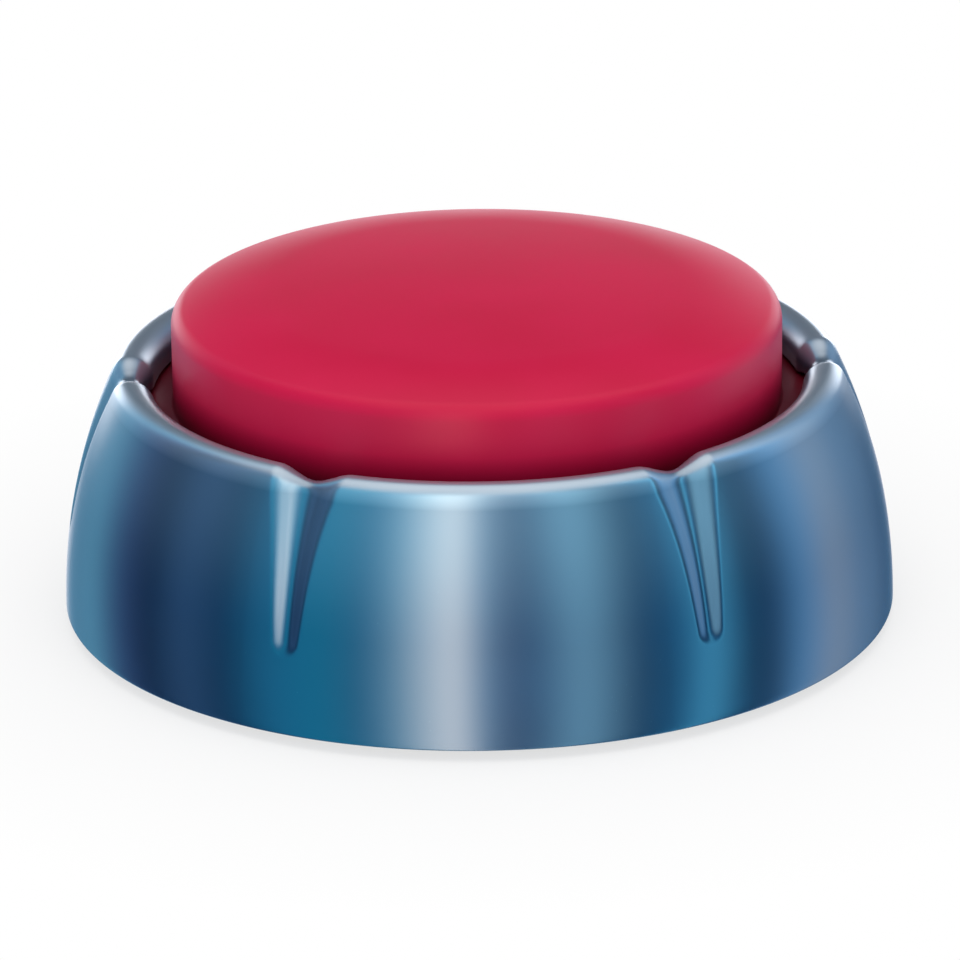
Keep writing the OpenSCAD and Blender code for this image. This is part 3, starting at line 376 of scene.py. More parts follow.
# The finish of each solid that is shown as it comes
NODE_FINISHES: dict[str, Finish] = {
    node: finish
    for finish, nodes in (
        (DECK_ABS, "switch_deck"),
        (SOLDER_MASK, "circuit_board"),
        (CHIP_EPOXY, "chip_blob"),
        (DIPPED_BODY, "board_parts"),
        (SCREW_ZINC, "board_screws deck_screws speaker_screws door_screw base_screws"),
        (BASKET_SHEET, "speaker_basket"),
        (FERRITE, "speaker_magnet"),
        (CONE_PAPER, "speaker_cone"),
        (GASKET_BOARD, "speaker_gasket"),
        (PHENOLIC, "speaker_terminals"),
        (BLACK_ABS, "base_plate battery_door"),
        (CELL_FILM, "battery_1 battery_2"),
        (NICKEL_STRIP, "contact_bridge contact_negative contact_positive"),
        (BALLAST_STEEL, "ballast_left ballast_right"),
        (LOUDSPEAKER_LEADS, "speaker_wires"),
        (BATTERY_LEADS, "battery_wires"),
        (LACQUER, "housing"),
        (BUTTON_ABS, "button_cap"),
        (SPRING_WIRE, "return_spring_1 return_spring_2 return_spring_3"),
        (SILICONE, "rubber_dome"),
        (FOOT_RUBBER, "rubber_foot_1 rubber_foot_2 rubber_foot_3 rubber_foot_4"),
    )
    for node in nodes.split()
}


class Paint:
    """Hands out each finish's material, built once."""

    made: dict[str, bpy.types.Material] = {}

    @classmethod
    def of(cls, finish: Finish) -> bpy.types.Material:
        """Returns the material of a finish, and builds it the first time."""
        if finish.name not in cls.made:
            cls.made[finish.name] = finish.build()
        return cls.made[finish.name]


# --- Mesh helpers ---
def put(name: str, data: Any) -> bpy.types.Object:
    """Makes an object of some data and links it into the scene."""
    thing = bpy.data.objects.new(name, data)
    bpy.context.scene.collection.objects.link(thing)
    return thing


def arc(centre: tuple[float, float], radius: float, start: float, end: float, steps: int) -> Profile:
    """Points along an arc, both ends included.

    Args:
        centre: The arc's centre.
        radius: Its radius.
        start: The angle that it starts at, in degrees.
        end: The angle that it ends at, in degrees.
        steps: How many steps lie between its ends.

    Returns:
        The points.
    """
    turn = [math.radians(start + (end - start) * i / steps) for i in range(steps + 1)]
    return [(centre[0] + radius * math.cos(t), centre[1] + radius * math.sin(t)) for t in turn]


def densify(profile: Profile, step: float) -> Profile:
    """Adds points along a profile's long straights, so that no step is longer than step."""
    out: Profile = [profile[0]]
    for (r0, z0), (r1, z1) in zip(profile, profile[1:]):
        count = max(1, math.ceil(math.hypot(r1 - r0, z1 - z0) / step - 1e-6))
        out += [(r0 + (r1 - r0) * i / count, z0 + (z1 - z0) * i / count) for i in range(1, count + 1)]
    return out


def wear(piece: bpy.types.Object, finish: Finish, body: Body, *nodes: str) -> bpy.types.Object:
    """Gives a finished piece its material, its body and the solids that it stands for.

    Args:
        piece: The piece, at the origin, with its place in its mesh.
        finish: Its surface.
        body: What it rides on.
        *nodes: The solids that it stands for.

    Returns:
        The piece.
    """
    piece.data.materials.clear()
    piece.data.materials.append(Paint.of(finish))
    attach(piece, body.value)
    if nodes:
        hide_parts(*nodes)
    LOG.info("%s: %d faces, rides on %s", piece.name, len(piece.data.polygons), body.value)
    return piece


def mesh_piece(name: str, verts: Any, faces: Any, smooth_deg: float = 40.0) -> bpy.types.Object:
    """Makes an object from points in millimetres.

    Args:
        name: The object's name.
        verts: Points in millimetres.
        faces: Lists of point numbers.
        smooth_deg: Edges sharper than this stay sharp in the shading.

    Returns:
        The new object.
    """
    mesh = bpy.data.meshes.new(name)
    mesh.from_pydata([tuple(float(c) * MM for c in v) for v in verts], [], [tuple(map(int, f)) for f in faces])
    mesh.validate()
    piece = put(name, mesh)
    smooth(piece, smooth_deg)
    return piece


def smooth(piece: bpy.types.Object, angle_deg: float) -> None:
    """Shades a piece smooth, with edges above an angle kept sharp."""
    mesh = piece.data
    mesh.polygons.foreach_set("use_smooth", [True] * len(mesh.polygons))
    build = bmesh.new()
    build.from_mesh(mesh)
    for edge in build.edges:
        edge.smooth = len(edge.link_faces) == 2 and edge.calc_face_angle(0.0) < math.radians(angle_deg)
    build.to_mesh(mesh)
    build.free()
    mesh.update()


def revolve(name: str, profile: Profile, closed: bool, segments: int = 96, centre: Point = (0, 0)) -> bpy.types.Object:
    """Turns a profile round an upright axis.

    Args:
        name: The object's name.
        profile: Radius and height of each point, in millimetres.
        closed: Whether the profile's last point joins its first; else both ends lie on the axis.
        segments: Faces round the axis.
        centre: Where the axis stands, in millimetres.

    Returns:
        The new object, with its normals outwards.
    """
    turns = [2 * math.pi * i / segments for i in range(segments)]
    verts, rings = [], []
    for r, z in profile:
        if r < 1e-6:
            rings.append([len(verts)] * segments)
            verts.append((centre[0], centre[1], z))
        else:
            rings.append([len(verts) + i for i in range(segments)])
            verts += [(centre[0] + r * math.cos(t), centre[1] + r * math.sin(t), z) for t in turns]
    faces = []
    pairs = list(zip(rings, rings[1:] + rings[:1])) if closed else list(zip(rings, rings[1:]))
    for low, high in pairs:
        for i in range(segments):
            j = (i + 1) % segments
            face = list(dict.fromkeys([low[i], low[j], high[j], high[i]]))
            if len(face) > 2:
                faces.append(face)
    piece = mesh_piece(name, verts, faces)
    outwards(piece)
    return piece


def outwards(piece: bpy.types.Object, angle_deg: float = 40.0) -> None:
    """Merges a piece's doubles, turns its faces outwards and shades it again."""
    build = bmesh.new()
    build.from_mesh(piece.data)
    bmesh.ops.remove_doubles(build, verts=build.verts, dist=1e-7)
    bmesh.ops.recalc_face_normals(build, faces=build.faces)
    build.to_mesh(piece.data)
    build.free()
    smooth(piece, angle_deg)


def join(name: str, parts: Sequence[bpy.types.Object]) -> bpy.types.Object:
    """Joins several meshes into one new piece and removes them.

    Args:
        name: The new piece's name.
        parts: The meshes, all at the origin.

    Returns:
        The new piece.
    """
    build = bmesh.new()
    for part in parts:
        build.from_mesh(part.data)
        old = part.data
        bpy.data.objects.remove(part)
        bpy.data.meshes.remove(old)
    mesh = bpy.data.meshes.new(name)
    build.to_mesh(mesh)
    build.free()
    return put(name, mesh)


# --- Geometry Nodes ---
class Grower:
    """A Geometry Nodes tree with named inputs, and the way to bake it into a mesh."""

    def __init__(self, name: str) -> None:
        """Starts an empty tree."""
        self.tree = bpy.data.node_groups.new(name, "GeometryNodeTree")
        self.tree.interface.new_socket("Geometry", in_out="OUTPUT", socket_type="NodeSocketGeometry")
        self.values: dict[str, Any] = {}
        self.inputs = self.tree.nodes.new("NodeGroupInput")

    def size(self, name: str, value: float | int) -> Any:
        """Adds a named input.

        Args:
            name: What the input is called.
            value: Its value: a whole number for a count, otherwise metres or radians.

        Returns:
            The socket that carries it inside the tree.
        """
        kind = "NodeSocketInt" if isinstance(value, int) else "NodeSocketFloat"
        socket = self.tree.interface.new_socket(name, in_out="INPUT", socket_type=kind)
        self.values[socket.identifier] = value
        return self.inputs.outputs[name]

    def add(self, kind: str, links: dict[Any, Any] | None = None, **settings: Any) -> Any:
        """Adds a node to the tree."""
        return add_node(self.tree, kind, links, **settings)

    def bake(self, name: str, geometry: Any, finish: Finish) -> bpy.types.Object:
        """Ends the tree and turns its result into a plain mesh.

        Args:
            name: The new piece's name.
            geometry: The socket that carries the result.
            finish: The surface that the tree sets.

        Returns:
            The new piece.
        """
        real = self.add("GeometryNodeRealizeInstances", {"Geometry": geometry}).outputs["Geometry"]
        painted = self.add(
            "GeometryNodeSetMaterial", {"Geometry": real, "Material": Paint.of(finish)}
        ).outputs["Geometry"]
        self.add("NodeGroupOutput", {"Geometry": painted})
        seed = put(name + "Seed", bpy.data.meshes.new(name + "Seed"))
        modifier = seed.modifiers.new("Grow", "NODES")
        modifier.node_group = self.tree
        for identifier, value in self.values.items():
            modifier[identifier] = value
        graph = bpy.context.evaluated_depsgraph_get()
        mesh = bpy.data.meshes.new_from_object(seed.evaluated_get(graph), depsgraph=graph)
        seed.modifiers.clear()
        bpy.data.objects.remove(seed)
        piece = put(name, mesh)
        outwards(piece)
        return piece


# --- The housing ---
SOLVE_STEPS = 30  # steps that bring a point onto the carved surface
SOLVE_STRIDE = 0.8  # share of the remaining distance that one step covers


@dataclass
class Housing:
    """The fluted outer shell. Heights count from the table, in millimetres."""

    edge_z: float = 1.3
    rim_h: float = 28.3
    base_r: float = 47.5
    bow_r: float = 65.0
    wall: float = 2.2
    rim_round: float = 2.0
    opening_r: float = 37.0
    lip_edge_h: float = 1.2
    skirt_t: float = 1.3
    skirt_h: float = 2.5
    edge_round: float = 0.25
    flutes: int = 6
    end_h: float = 10.9
    end_r: float = 1.4
    end_depth: float = 0.3
    top_r: float = 3.0
    flare: float = 2.8  # power of a flute's widening: above 1 it widens late, near the rim
    rim_dip: float = 1.0
    edge_dip: float = 0.7
    roll: float = 1.8
    flute_wall: float = 1.7
    shoulder_low: float = 0.7
    shoulder_top: float = 2.0
    reach_deg: float = 9.0
    fine_half_deg: float = 6.5  # how far to each side of a flute the mesh is fine
    fine_deg: float = 0.19
    coarse_deg: float = 1.6

    def wall_r(self, height: float, inset: float = 0.0) -> float:
        """Radius of the bowed wall at a height above the lower edge."""
        return self.base_r - self.bow_r + math.sqrt((self.bow_r - inset) ** 2 - height**2)

    def profile(self) -> tuple[Profile, int]:
        """The shell's section, from the outer lower edge over the rim and back inside.

        Returns:
            The closed profile, and how many of its points belong to the outside and the rim.
        """
        bow_x = self.base_r - self.bow_r
        round_z = self.rim_h - self.rim_round
        crest_r = bow_x + math.sqrt((self.bow_r - self.rim_round) ** 2 - round_z**2)
        lean = math.degrees(math.asin(round_z / (self.bow_r - self.rim_round)))
        inner = crest_r - self.opening_r
        lip = self.rim_h - inner - self.lip_edge_h
        edge = self.edge_round
        outer = arc((self.base_r - edge, edge), edge, -90, 0, 5)
        outer += densify(arc((bow_x, 0), self.bow_r, 0.45, lean, 90), 0.4)[1:]
        outer += arc((crest_r, round_z), self.rim_round, lean, 90, 12)[1:]
        outer += arc((crest_r, self.rim_h - inner), inner, 90, 180, 22)[1:]
        outer += densify([outer[-1], (self.opening_r, lip + edge)], 0.3)[1:]
        outer += arc((self.opening_r + edge, lip + edge), edge, 180, 270, 4)[1:]
        top = math.degrees(math.asin(lip / (self.bow_r - self.wall)))
        low = math.degrees(math.asin(self.skirt_h / (self.bow_r - self.wall)))
        inside = [(self.wall_r(lip, self.wall) - 1.0, lip)]
        inside += arc((bow_x, 0), self.bow_r - self.wall, top, low, 24)
        inside += [(self.base_r - self.skirt_t, self.skirt_h), (self.base_r - self.skirt_t, 0.0)]
        return [(r, z + self.edge_z) for r, z in outer + inside], len(outer)

    def tool_frame(self) -> tuple[np.ndarray, np.ndarray, float, float]:
        """Where a flute's tool runs in its own plane.

        Returns:
            The middle of its lower end, the middle of its roll over the rim, the slope of its
            straight run in radians, and that run's length.
        """
        low = np.array([self.wall_r(self.end_h) + self.end_r - self.end_depth, self.edge_z + self.end_h])
        crest_z = self.edge_z + self.rim_h
        centre = np.array([self.opening_r + self.edge_dip + self.roll, crest_z - self.rim_dip - self.roll])
        ring = self.roll + self.top_r
        reach = float(np.hypot(*(centre - low)))
        slope = math.atan2(centre[1] - low[1], centre[0] - low[0]) - math.asin(ring / reach)
        return low, centre, slope, math.sqrt(reach**2 - ring**2)

    def flute_distance(self, spots: np.ndarray) -> np.ndarray:
        """Signed distance to one flute's tool, whose plane is y = 0.

        Args:
            spots: Points as rows of radius along the flute's plane, distance sideways and height.

        Returns:
            The distances, below 0 inside the tool.
        """
        low, centre, slope, length = self.tool_frame()
        r, y, z = spots.T
        dr, dz = r - low[0], z - low[1]
        along = dr * math.cos(slope) + dz * math.sin(slope)
        side = np.hypot(dz * math.cos(slope) - dr * math.sin(slope), y)
        cone = side - (self.end_r + (self.top_r - self.end_r) * np.clip(along / length, 0, 1) ** self.flare)
        ball = np.sqrt(dr**2 + dz**2 + y**2) - self.end_r
        straight = np.where(along < 0, ball, cone)
        cr, cz = r - centre[0], z - centre[1]
        ring = self.roll + self.top_r
        rolled = np.hypot(np.hypot(cr, cz) - ring, y) - self.top_r
        drop = np.hypot(cr + ring, y) - self.top_r
        return np.where(along < length, np.where((cr < -self.roll) & (cz < 0), drop, straight),
                        np.where((cz < 0) & (cr < 0), drop, rolled))

    def carve(self, rows: np.ndarray, phi: np.ndarray, outside: int) -> np.ndarray:
        """Sinks the flute that lies at angle 0 into one sector of the shell.

        Args:
            rows: The section's points, as radius and height.
            phi: The sector's angles from the flute's middle, in radians.
            outside: How many of the rows belong to the outside and the rim.

        Returns:
            The carved points, row by row, as x along the flute's plane, y sideways and z.
        """
        _, centre, slope, _ = self.tool_frame()
        start = slope - math.pi / 2
        ends = np.roll(rows, -1, axis=0)
        grid = np.zeros((len(rows), len(phi), 3))
        for i, (r, z) in enumerate(rows):
            grid[i] = np.stack([r * np.cos(phi), r * np.sin(phi), np.full_like(phi, z)], axis=1)
            inner = i >= outside
            to_centre = centre - (r, z)
            turn = math.atan2(-to_centre[1], -to_centre[0])
            if inner or (turn < start and r > centre[0]):
                way = np.array([-math.cos(start), 0.0, -math.sin(start)])
            elif r < centre[0] and z < centre[1]:
                way = np.array([1.0, 0.0, 0.0])
            else:
                unit = to_centre / np.hypot(*to_centre)
                way = np.array([unit[0], 0.0, unit[1]])
            if z < self.edge_z + self.skirt_h + 1:
                continue
            rise = np.clip((z - self.edge_z - self.end_h) / (self.rim_h - self.end_h), 0, 1)
            k = self.shoulder_low + (self.shoulder_top - self.shoulder_low) * rise
            close = np.abs(phi) < math.radians(self.reach_deg)
            spots = grid[i][close]
            for _step in range(SOLVE_STEPS):
                cut = -self.flute_distance(spots)
                if inner:
                    spots += np.clip(cut + self.flute_wall, 0, None)[:, None] * way * SOLVE_STRIDE
                    continue
                near = np.stack([np.hypot(spots[:, 0], spots[:, 1]), spots[:, 2]], axis=1)
                skin = signed_distance(near, rows[:outside], ends[:outside])
                level = np.minimum(-k, np.maximum(skin, cut)) + np.hypot(
                    np.clip(k + skin, 0, None), np.clip(k + cut, 0, None)
                )
                spots += np.clip(level, 0, None)[:, None] * way * SOLVE_STRIDE
            grid[i][close] = spots
        return grid

    def build(self) -> bpy.types.Object:
        """Builds the carved shell."""
        profile, outside = self.profile()
        rows = np.array(profile)
        half = self.fine_half_deg
        sector = 360 / self.flutes
        count = round((sector - 2 * half) / self.coarse_deg)
        phi = np.radians(np.concatenate([
            np.arange(-half, half, self.fine_deg), np.linspace(half, sector - half, count, endpoint=False)
        ]))
        folded = np.where(phi > math.radians(sector / 2), phi - math.radians(sector), phi)
        carved = self.carve(rows, folded, outside)
        wide = (phi != folded)
        turned = carved.copy()
        back = math.radians(sector)
        turned[:, wide, 0] = carved[:, wide, 0] * math.cos(back) - carved[:, wide, 1] * math.sin(back)
        turned[:, wide, 1] = carved[:, wide, 0] * math.sin(back) + carved[:, wide, 1] * math.cos(back)
        columns = []
        for i in range(self.flutes):
            a = math.radians((i + 0.5) * sector - 90)
            x = turned[:, :, 0] * math.cos(a) - turned[:, :, 1] * math.sin(a)
            y = turned[:, :, 0] * math.sin(a) + turned[:, :, 1] * math.cos(a)
            columns.append(np.stack([x, y, turned[:, :, 2]], axis=2))
        verts = np.concatenate(columns, axis=1)
        n_rows, n_cols = verts.shape[:2]
        i, j = np.meshgrid(np.arange(n_rows), np.arange(n_cols), indexing="ij")
        i1, j1 = (i + 1) % n_rows, (j + 1) % n_cols
        faces = np.stack([i * n_cols + j, i * n_cols + j1, i1 * n_cols + j1, i1 * n_cols + j], axis=2)
        piece = mesh_piece("housing_shell", verts.reshape(-1, 3), faces.reshape(-1, 4))
        outwards(piece, 50.0)
        return piece


def signed_distance(spots: np.ndarray, starts: np.ndarray, ends: np.ndarray) -> np.ndarray:
    """Signed distance in a plane to a line of segments that has its solid on the left.

    Args:
        spots: Points as rows of radius and height.
        starts: The segments' first points.
        ends: The segments' last points.

    Returns:
        The distances, above 0 on the right.
    """
    run = ends - starts
    rel = spots[:, None, :] - starts[None]
    share = np.clip((rel * run).sum(2) / np.maximum((run**2).sum(1), 1e-12), 0, 1)
    off = rel - share[:, :, None] * run
    far = np.hypot(off[:, :, 0], off[:, :, 1])
    best = far.argmin(1)
    pick = np.arange(len(spots))
    side = run[best, 0] * rel[pick, best, 1] - run[best, 1] * rel[pick, best, 0]
    return np.where(side > 0, -far[pick, best], far[pick, best])


# --- Repeated pieces ---
def block(name: str, low: Point, high: Point) -> bpy.types.Object:
    """A plain brace between two corners, in millimetres, for use inside a larger piece."""
    xs, ys, zs = zip(low, high)
    verts = [(x, y, z) for x in xs for y in ys for z in zs]
    faces = [(0, 1, 3, 2), (4, 6, 7, 5), (0, 4, 5, 1), (2, 3, 7, 6), (0, 2, 6, 4), (1, 5, 7, 3)]
    return mesh_piece(name, verts, faces)


@dataclass
class RingOf:
    """Copies of one template that stand round a ring, turned to face outwards."""

    name: str
    count: int
    ring_r: float
    turn_deg: float
    centre: Point = (0.0, 0.0, 0.0)
    step_deg: float | None = None

    def build(self, template: bpy.types.Object, finish: Finish) -> bpy.types.Object:
        """Grows the ring and removes the template.

        Args:
            template: One copy, whose own +X points outwards and whose origin goes on the ring.
            finish: The surface of the copies.

        Returns:
            All copies as one piece.
        """
        grower = Grower(self.name + "_ring")
        count = grower.size("Count", self.count)
        radius = grower.size("Ring radius", self.ring_r * MM)
        turn = grower.size("Turn", math.radians(self.turn_deg))
        step = grower.size("Step", math.radians(self.step_deg or 360 / self.count))
        index = grower.add("GeometryNodeInputIndex").outputs["Index"]
        angle = maths(grower.tree, "MULTIPLY", index, step)
        facing = grower.add("ShaderNodeCombineXYZ", {"Z": angle}).outputs["Vector"]
        across, ahead = (maths(grower.tree, operation, angle) for operation in ("COSINE", "SINE"))
        aim = grower.add("ShaderNodeCombineXYZ", {"X": across, "Y": ahead}).outputs["Vector"]
        spot = grower.add("ShaderNodeVectorMath", {0: aim, "Scale": radius}, operation="SCALE").outputs["Vector"]
        circle = grower.add("GeometryNodePoints", {"Count": count, "Position": spot}).outputs["Points"]
        copy = grower.add("GeometryNodeObjectInfo", {"Object": template}).outputs["Geometry"]
        spread = grower.add(
            "GeometryNodeInstanceOnPoints", {"Points": circle, "Instance": copy, "Rotation": facing}
        ).outputs["Instances"]
        whole = grower.add("ShaderNodeCombineXYZ", {"Z": turn}).outputs["Vector"]
        placed = grower.add(
            "GeometryNodeTransform",
            {"Geometry": spread, "Rotation": whole, "Translation": tuple(c * MM for c in self.centre)},
        ).outputs["Geometry"]
        piece = grower.bake(self.name, placed, finish)
        bpy.data.objects.remove(template)
        return piece


@dataclass
class ScrewKind:
    """A pan-head screw with a cross recess; its head stands on z = 0, its shank goes down."""

    head_r: float
    head_h: float
    shank_r: float
    shank_l: float
    pitch: float = 0.8
    thread_h: float = 0.3

    def template(self) -> bpy.types.Object:
        """Builds one screw, with rolled threads and the recess cut in."""
        dome = arc((self.head_r - self.head_h * 0.55, self.head_h * 0.42), self.head_h * 0.55, -10, 82, 8)
        profile: Profile = [(0.0, -self.shank_l), (self.shank_r - 0.35, -self.shank_l)]
        turns = int((self.shank_l - 0.9) / self.pitch)
        root_r = self.shank_r - self.thread_h
        for i in range(turns):
            z = -self.shank_l + 0.5 + i * self.pitch
            profile += [(root_r, z), (self.shank_r, z + self.pitch * 0.35), (root_r, z + self.pitch * 0.7)]
        profile += [(root_r, 0.0), (self.head_r - 0.15, 0.0)] + dome + [(0.0, self.head_h * 1.02)]
        screw = revolve("screw_template", profile, closed=False, segments=32)
        arm, width = self.head_r * 0.55, self.head_r * 0.14
        for low, high in (((-arm, -width), (arm, width)), ((-width, -arm), (width, arm))):
            cutter = block("recess", (*low, self.head_h * 0.4), (*high, self.head_h * 2))
            cut = screw.modifiers.new("Cut", "BOOLEAN")
            cut.object, cut.operation, cut.solver = cutter, "DIFFERENCE", "EXACT"
            bake_modifiers(screw)
            bpy.data.objects.remove(cutter)
        smooth(screw, 35.0)
        return screw

    def flipped(self) -> bpy.types.Object:
        """Builds one screw with its head downwards."""
        screw = self.template()
        screw.data.transform(Matrix.Rotation(math.pi, 4, "X"))
        return screw


def bake_modifiers(piece: bpy.types.Object) -> None:
    """Turns a piece's modifiers into plain mesh."""
    graph = bpy.context.evaluated_depsgraph_get()
    old = piece.data
    piece.data = bpy.data.meshes.new_from_object(piece.evaluated_get(graph), depsgraph=graph)
    piece.modifiers.clear()
    bpy.data.meshes.remove(old)


@dataclass
class Spring:
    """A compression spring with closed end turns. Lengths in millimetres."""

    radius: float = 5.3
    wire_r: float = 0.35
    height: float = 15.0
    turns: int = 7
    steps: int = 28

    def build(self, name: str, foot: Point, finish: Finish) -> bpy.types.Object:
        """Sweeps the wire along its path.

        Args:
            name: The piece's name.
            foot: The middle of its lower end.
            finish: Its surface.

        Returns:
            The spring.
        """
        grower = Grower(name + "_coil")
        radius = grower.size("Coil radius", self.radius * MM)
        wire = grower.size("Wire radius", self.wire_r * MM)
        turns = grower.size("Turns", float(self.turns))
        end_rise = 2.2 * self.wire_r
        middle = self.height - 2 * self.wire_r - 2 * end_rise
        spiral = grower.add(
            "GeometryNodeCurveSpiral",
            {"Resolution": self.steps, "Rotations": turns, "Start Radius": radius, "End Radius": radius, "Height": 0.0},
        ).outputs["Curve"]
        share = grower.add("GeometryNodeSplineParameter").outputs["Factor"]
        first = 1 / self.turns
        lift: Any = None
        for start, end, rise in ((0.0, first, end_rise), (first, 1 - first, middle), (1 - first, 1.0, end_rise)):
            part = rescale(grower.tree, share, (start, end), (0.0, rise * MM))
            lift = part if lift is None else maths(grower.tree, "ADD", lift, part)
        offset = grower.add("ShaderNodeCombineXYZ", {"Z": lift}).outputs["Vector"]
        path = grower.add("GeometryNodeSetPosition", {"Geometry": spiral, "Offset": offset}).outputs["Geometry"]
        section = grower.add(
            "GeometryNodeCurvePrimitiveCircle", {"Resolution": 12, "Radius": wire}, mode="RADIUS"
        ).outputs["Curve"]
        swept = grower.add(
            "GeometryNodeCurveToMesh", {"Curve": path, "Profile Curve": section, "Fill Caps": True}
        ).outputs["Mesh"]
        placed = grower.add(
            "GeometryNodeTransform",
            {"Geometry": swept, "Translation": (foot[0] * MM, foot[1] * MM, (foot[2] + self.wire_r) * MM)},
        ).outputs["Geometry"]
        return grower.bake(name, placed, finish)


# --- The button ---
@dataclass
class Button:
    """The crowned cap with its flange, ribs, plunger and guide posts, in millimetres."""

    radius: float = 34.65
    side_z: float = 34.6
    edge_round: float = 2.0
    shoulder_r: float = 40.0
    crown_deg: float = 3.5
    shoulder_deg: float = 17.0
    wall: float = 2.1
    flange_r: float = 38.4
    flange_low: float = 23.6
    flange_t: float = 1.8
    rib_h: float = 4.0
    rib_t: float = 1.2
    ribs: int = 6
    plunger_r: float = 4.0
    plunger_bore_r: float = 2.0
    plunger_z: float = 26.75
    guide_ring_r: float = 26.0
    guides: int = 3
    post_r: float = 3.0
    post_bore_r: float = 1.3
    post_low: float = 20.5
    collar_r: float = 5.65
    collar_z: float = 33.4

    def outline(self, inset: float) -> Profile:
        """The top's outline from the axis to its side, moved in by inset."""
        out_slope, in_slope = math.radians(self.shoulder_deg), math.radians(self.crown_deg)
        shoulder_out = self.radius - self.edge_round * (1 - math.sin(out_slope))
        crown_out = shoulder_out - self.shoulder_r * (math.sin(out_slope) - math.sin(in_slope))
        crown_r = crown_out / math.sin(in_slope)
        shoulder_z = self.side_z + self.edge_round * math.cos(out_slope)
        crown_z = shoulder_z + self.shoulder_r * (math.cos(in_slope) - math.cos(out_slope))
        top = crown_z + crown_r * (1 - math.cos(in_slope))
        shoulder = (crown_out - self.shoulder_r * math.sin(in_slope), crown_z - self.shoulder_r * math.cos(in_slope))
        line = arc((0, top - crown_r), crown_r - inset, 90, 90 - self.crown_deg, 30)
        line += arc(shoulder, self.shoulder_r - inset, 90 - self.crown_deg, 90 - self.shoulder_deg, 20)[1:]
        edge = self.edge_round - inset
        if edge > 0:
            return line + arc((self.radius - self.edge_round, self.side_z), edge, 90 - self.shoulder_deg, 0, 14)[1:]
        side = self.radius - inset
        kept = [(r, z) for r, z in line if r < side - 0.8]
        return kept + arc((side - 0.8, kept[-1][1] - 0.9), 0.8, 80, 0, 6)

    def shell(self) -> bpy.types.Object:
        """Builds the cap's skin with its flange."""
        top = self.flange_low + self.flange_t
        small = 0.25
        profile = self.outline(0.0)
        profile += [(self.radius, z) for z in np.linspace(self.side_z, top + small, 12)[1:]]
        profile += arc((self.radius + small, top + small), small, 180, 270, 3)[1:]
        profile += arc((self.flange_r - small, top - small), small, 90, 0, 4)
        profile += arc((self.flange_r - small, self.flange_low + small), small, 0, -90, 4)
        inner = self.outline(self.wall)
        profile += [(inner[-1][0], self.flange_low)] + inner[::-1]
        return revolve("button_shell", profile, closed=False, segments=288)

    def core(self) -> bpy.types.Object:
        """Builds what is moulded under the cap: plunger, ribs, collars and guide posts."""
        inner = self.outline(self.wall)
        top = inner[0][1]
        low = top - self.rib_h
        plunger = revolve(
            "plunger",
            [(self.plunger_bore_r, self.plunger_z), (self.plunger_r - 0.3, self.plunger_z),
             (self.plunger_r, self.plunger_z + 0.3), (self.plunger_r, top + 0.8), (0.0, top + 0.8),
             (0.0, low + 0.5), (self.plunger_bore_r, low + 0.5)],
            closed=True, segments=48,
        )
        reach = [(r, z + 0.8) for r, z in inner if self.plunger_r - 0.5 < r < inner[-1][0] - 1.2][::6]
        reach += [(inner[-1][0] + 0.6, reach[-1][1] - 1.4)]
        clear_r = self.guide_ring_r - self.collar_r - 0.3
        outline = [(self.plunger_r - 0.5, low), (clear_r, low), (clear_r, self.collar_z + 0.2),
                   (inner[-1][0] + 0.6, self.collar_z + 0.2)] + reach[::-1]
        half = self.rib_t / 2
        verts = [(r, y, z) for y in (-half, half) for r, z in outline]
        n = len(outline)
        faces = [list(range(n)), list(range(2 * n - 1, n - 1, -1))]
        faces += [[i, i + n, (i + 1) % n + n, (i + 1) % n] for i in range(n)]
        rib = mesh_piece("rib", verts, faces)
        outwards(rib)
        ribs = RingOf("button_ribs", self.ribs, 0.0, -90.0).build(rib, BUTTON_ABS)
        post = revolve(
            "post",
            [(self.post_bore_r, self.post_low), (self.post_r - 0.4, self.post_low), (self.post_r, self.post_low + 0.4),
             (self.post_r, self.collar_z), (self.collar_r, self.collar_z), (self.collar_r, low + 1.5),
             (0.0, low + 1.5), (0.0, self.collar_z - 0.8), (self.post_bore_r, self.collar_z - 0.8)],
            closed=True, segments=40,
        )
        posts = RingOf("button_posts", self.guides, self.guide_ring_r, -90.0).build(post, BUTTON_ABS)
        return join("button_core", [plunger, ribs, posts])

    def build(self) -> None:
        """Builds the button and sets it on its body."""
        wear(self.shell(), BUTTON_ABS, Body.BUTTON, "button_cap")
        core = self.core()
        outwards(core)
        wear(core, BUTTON_ABS, Body.BUTTON)


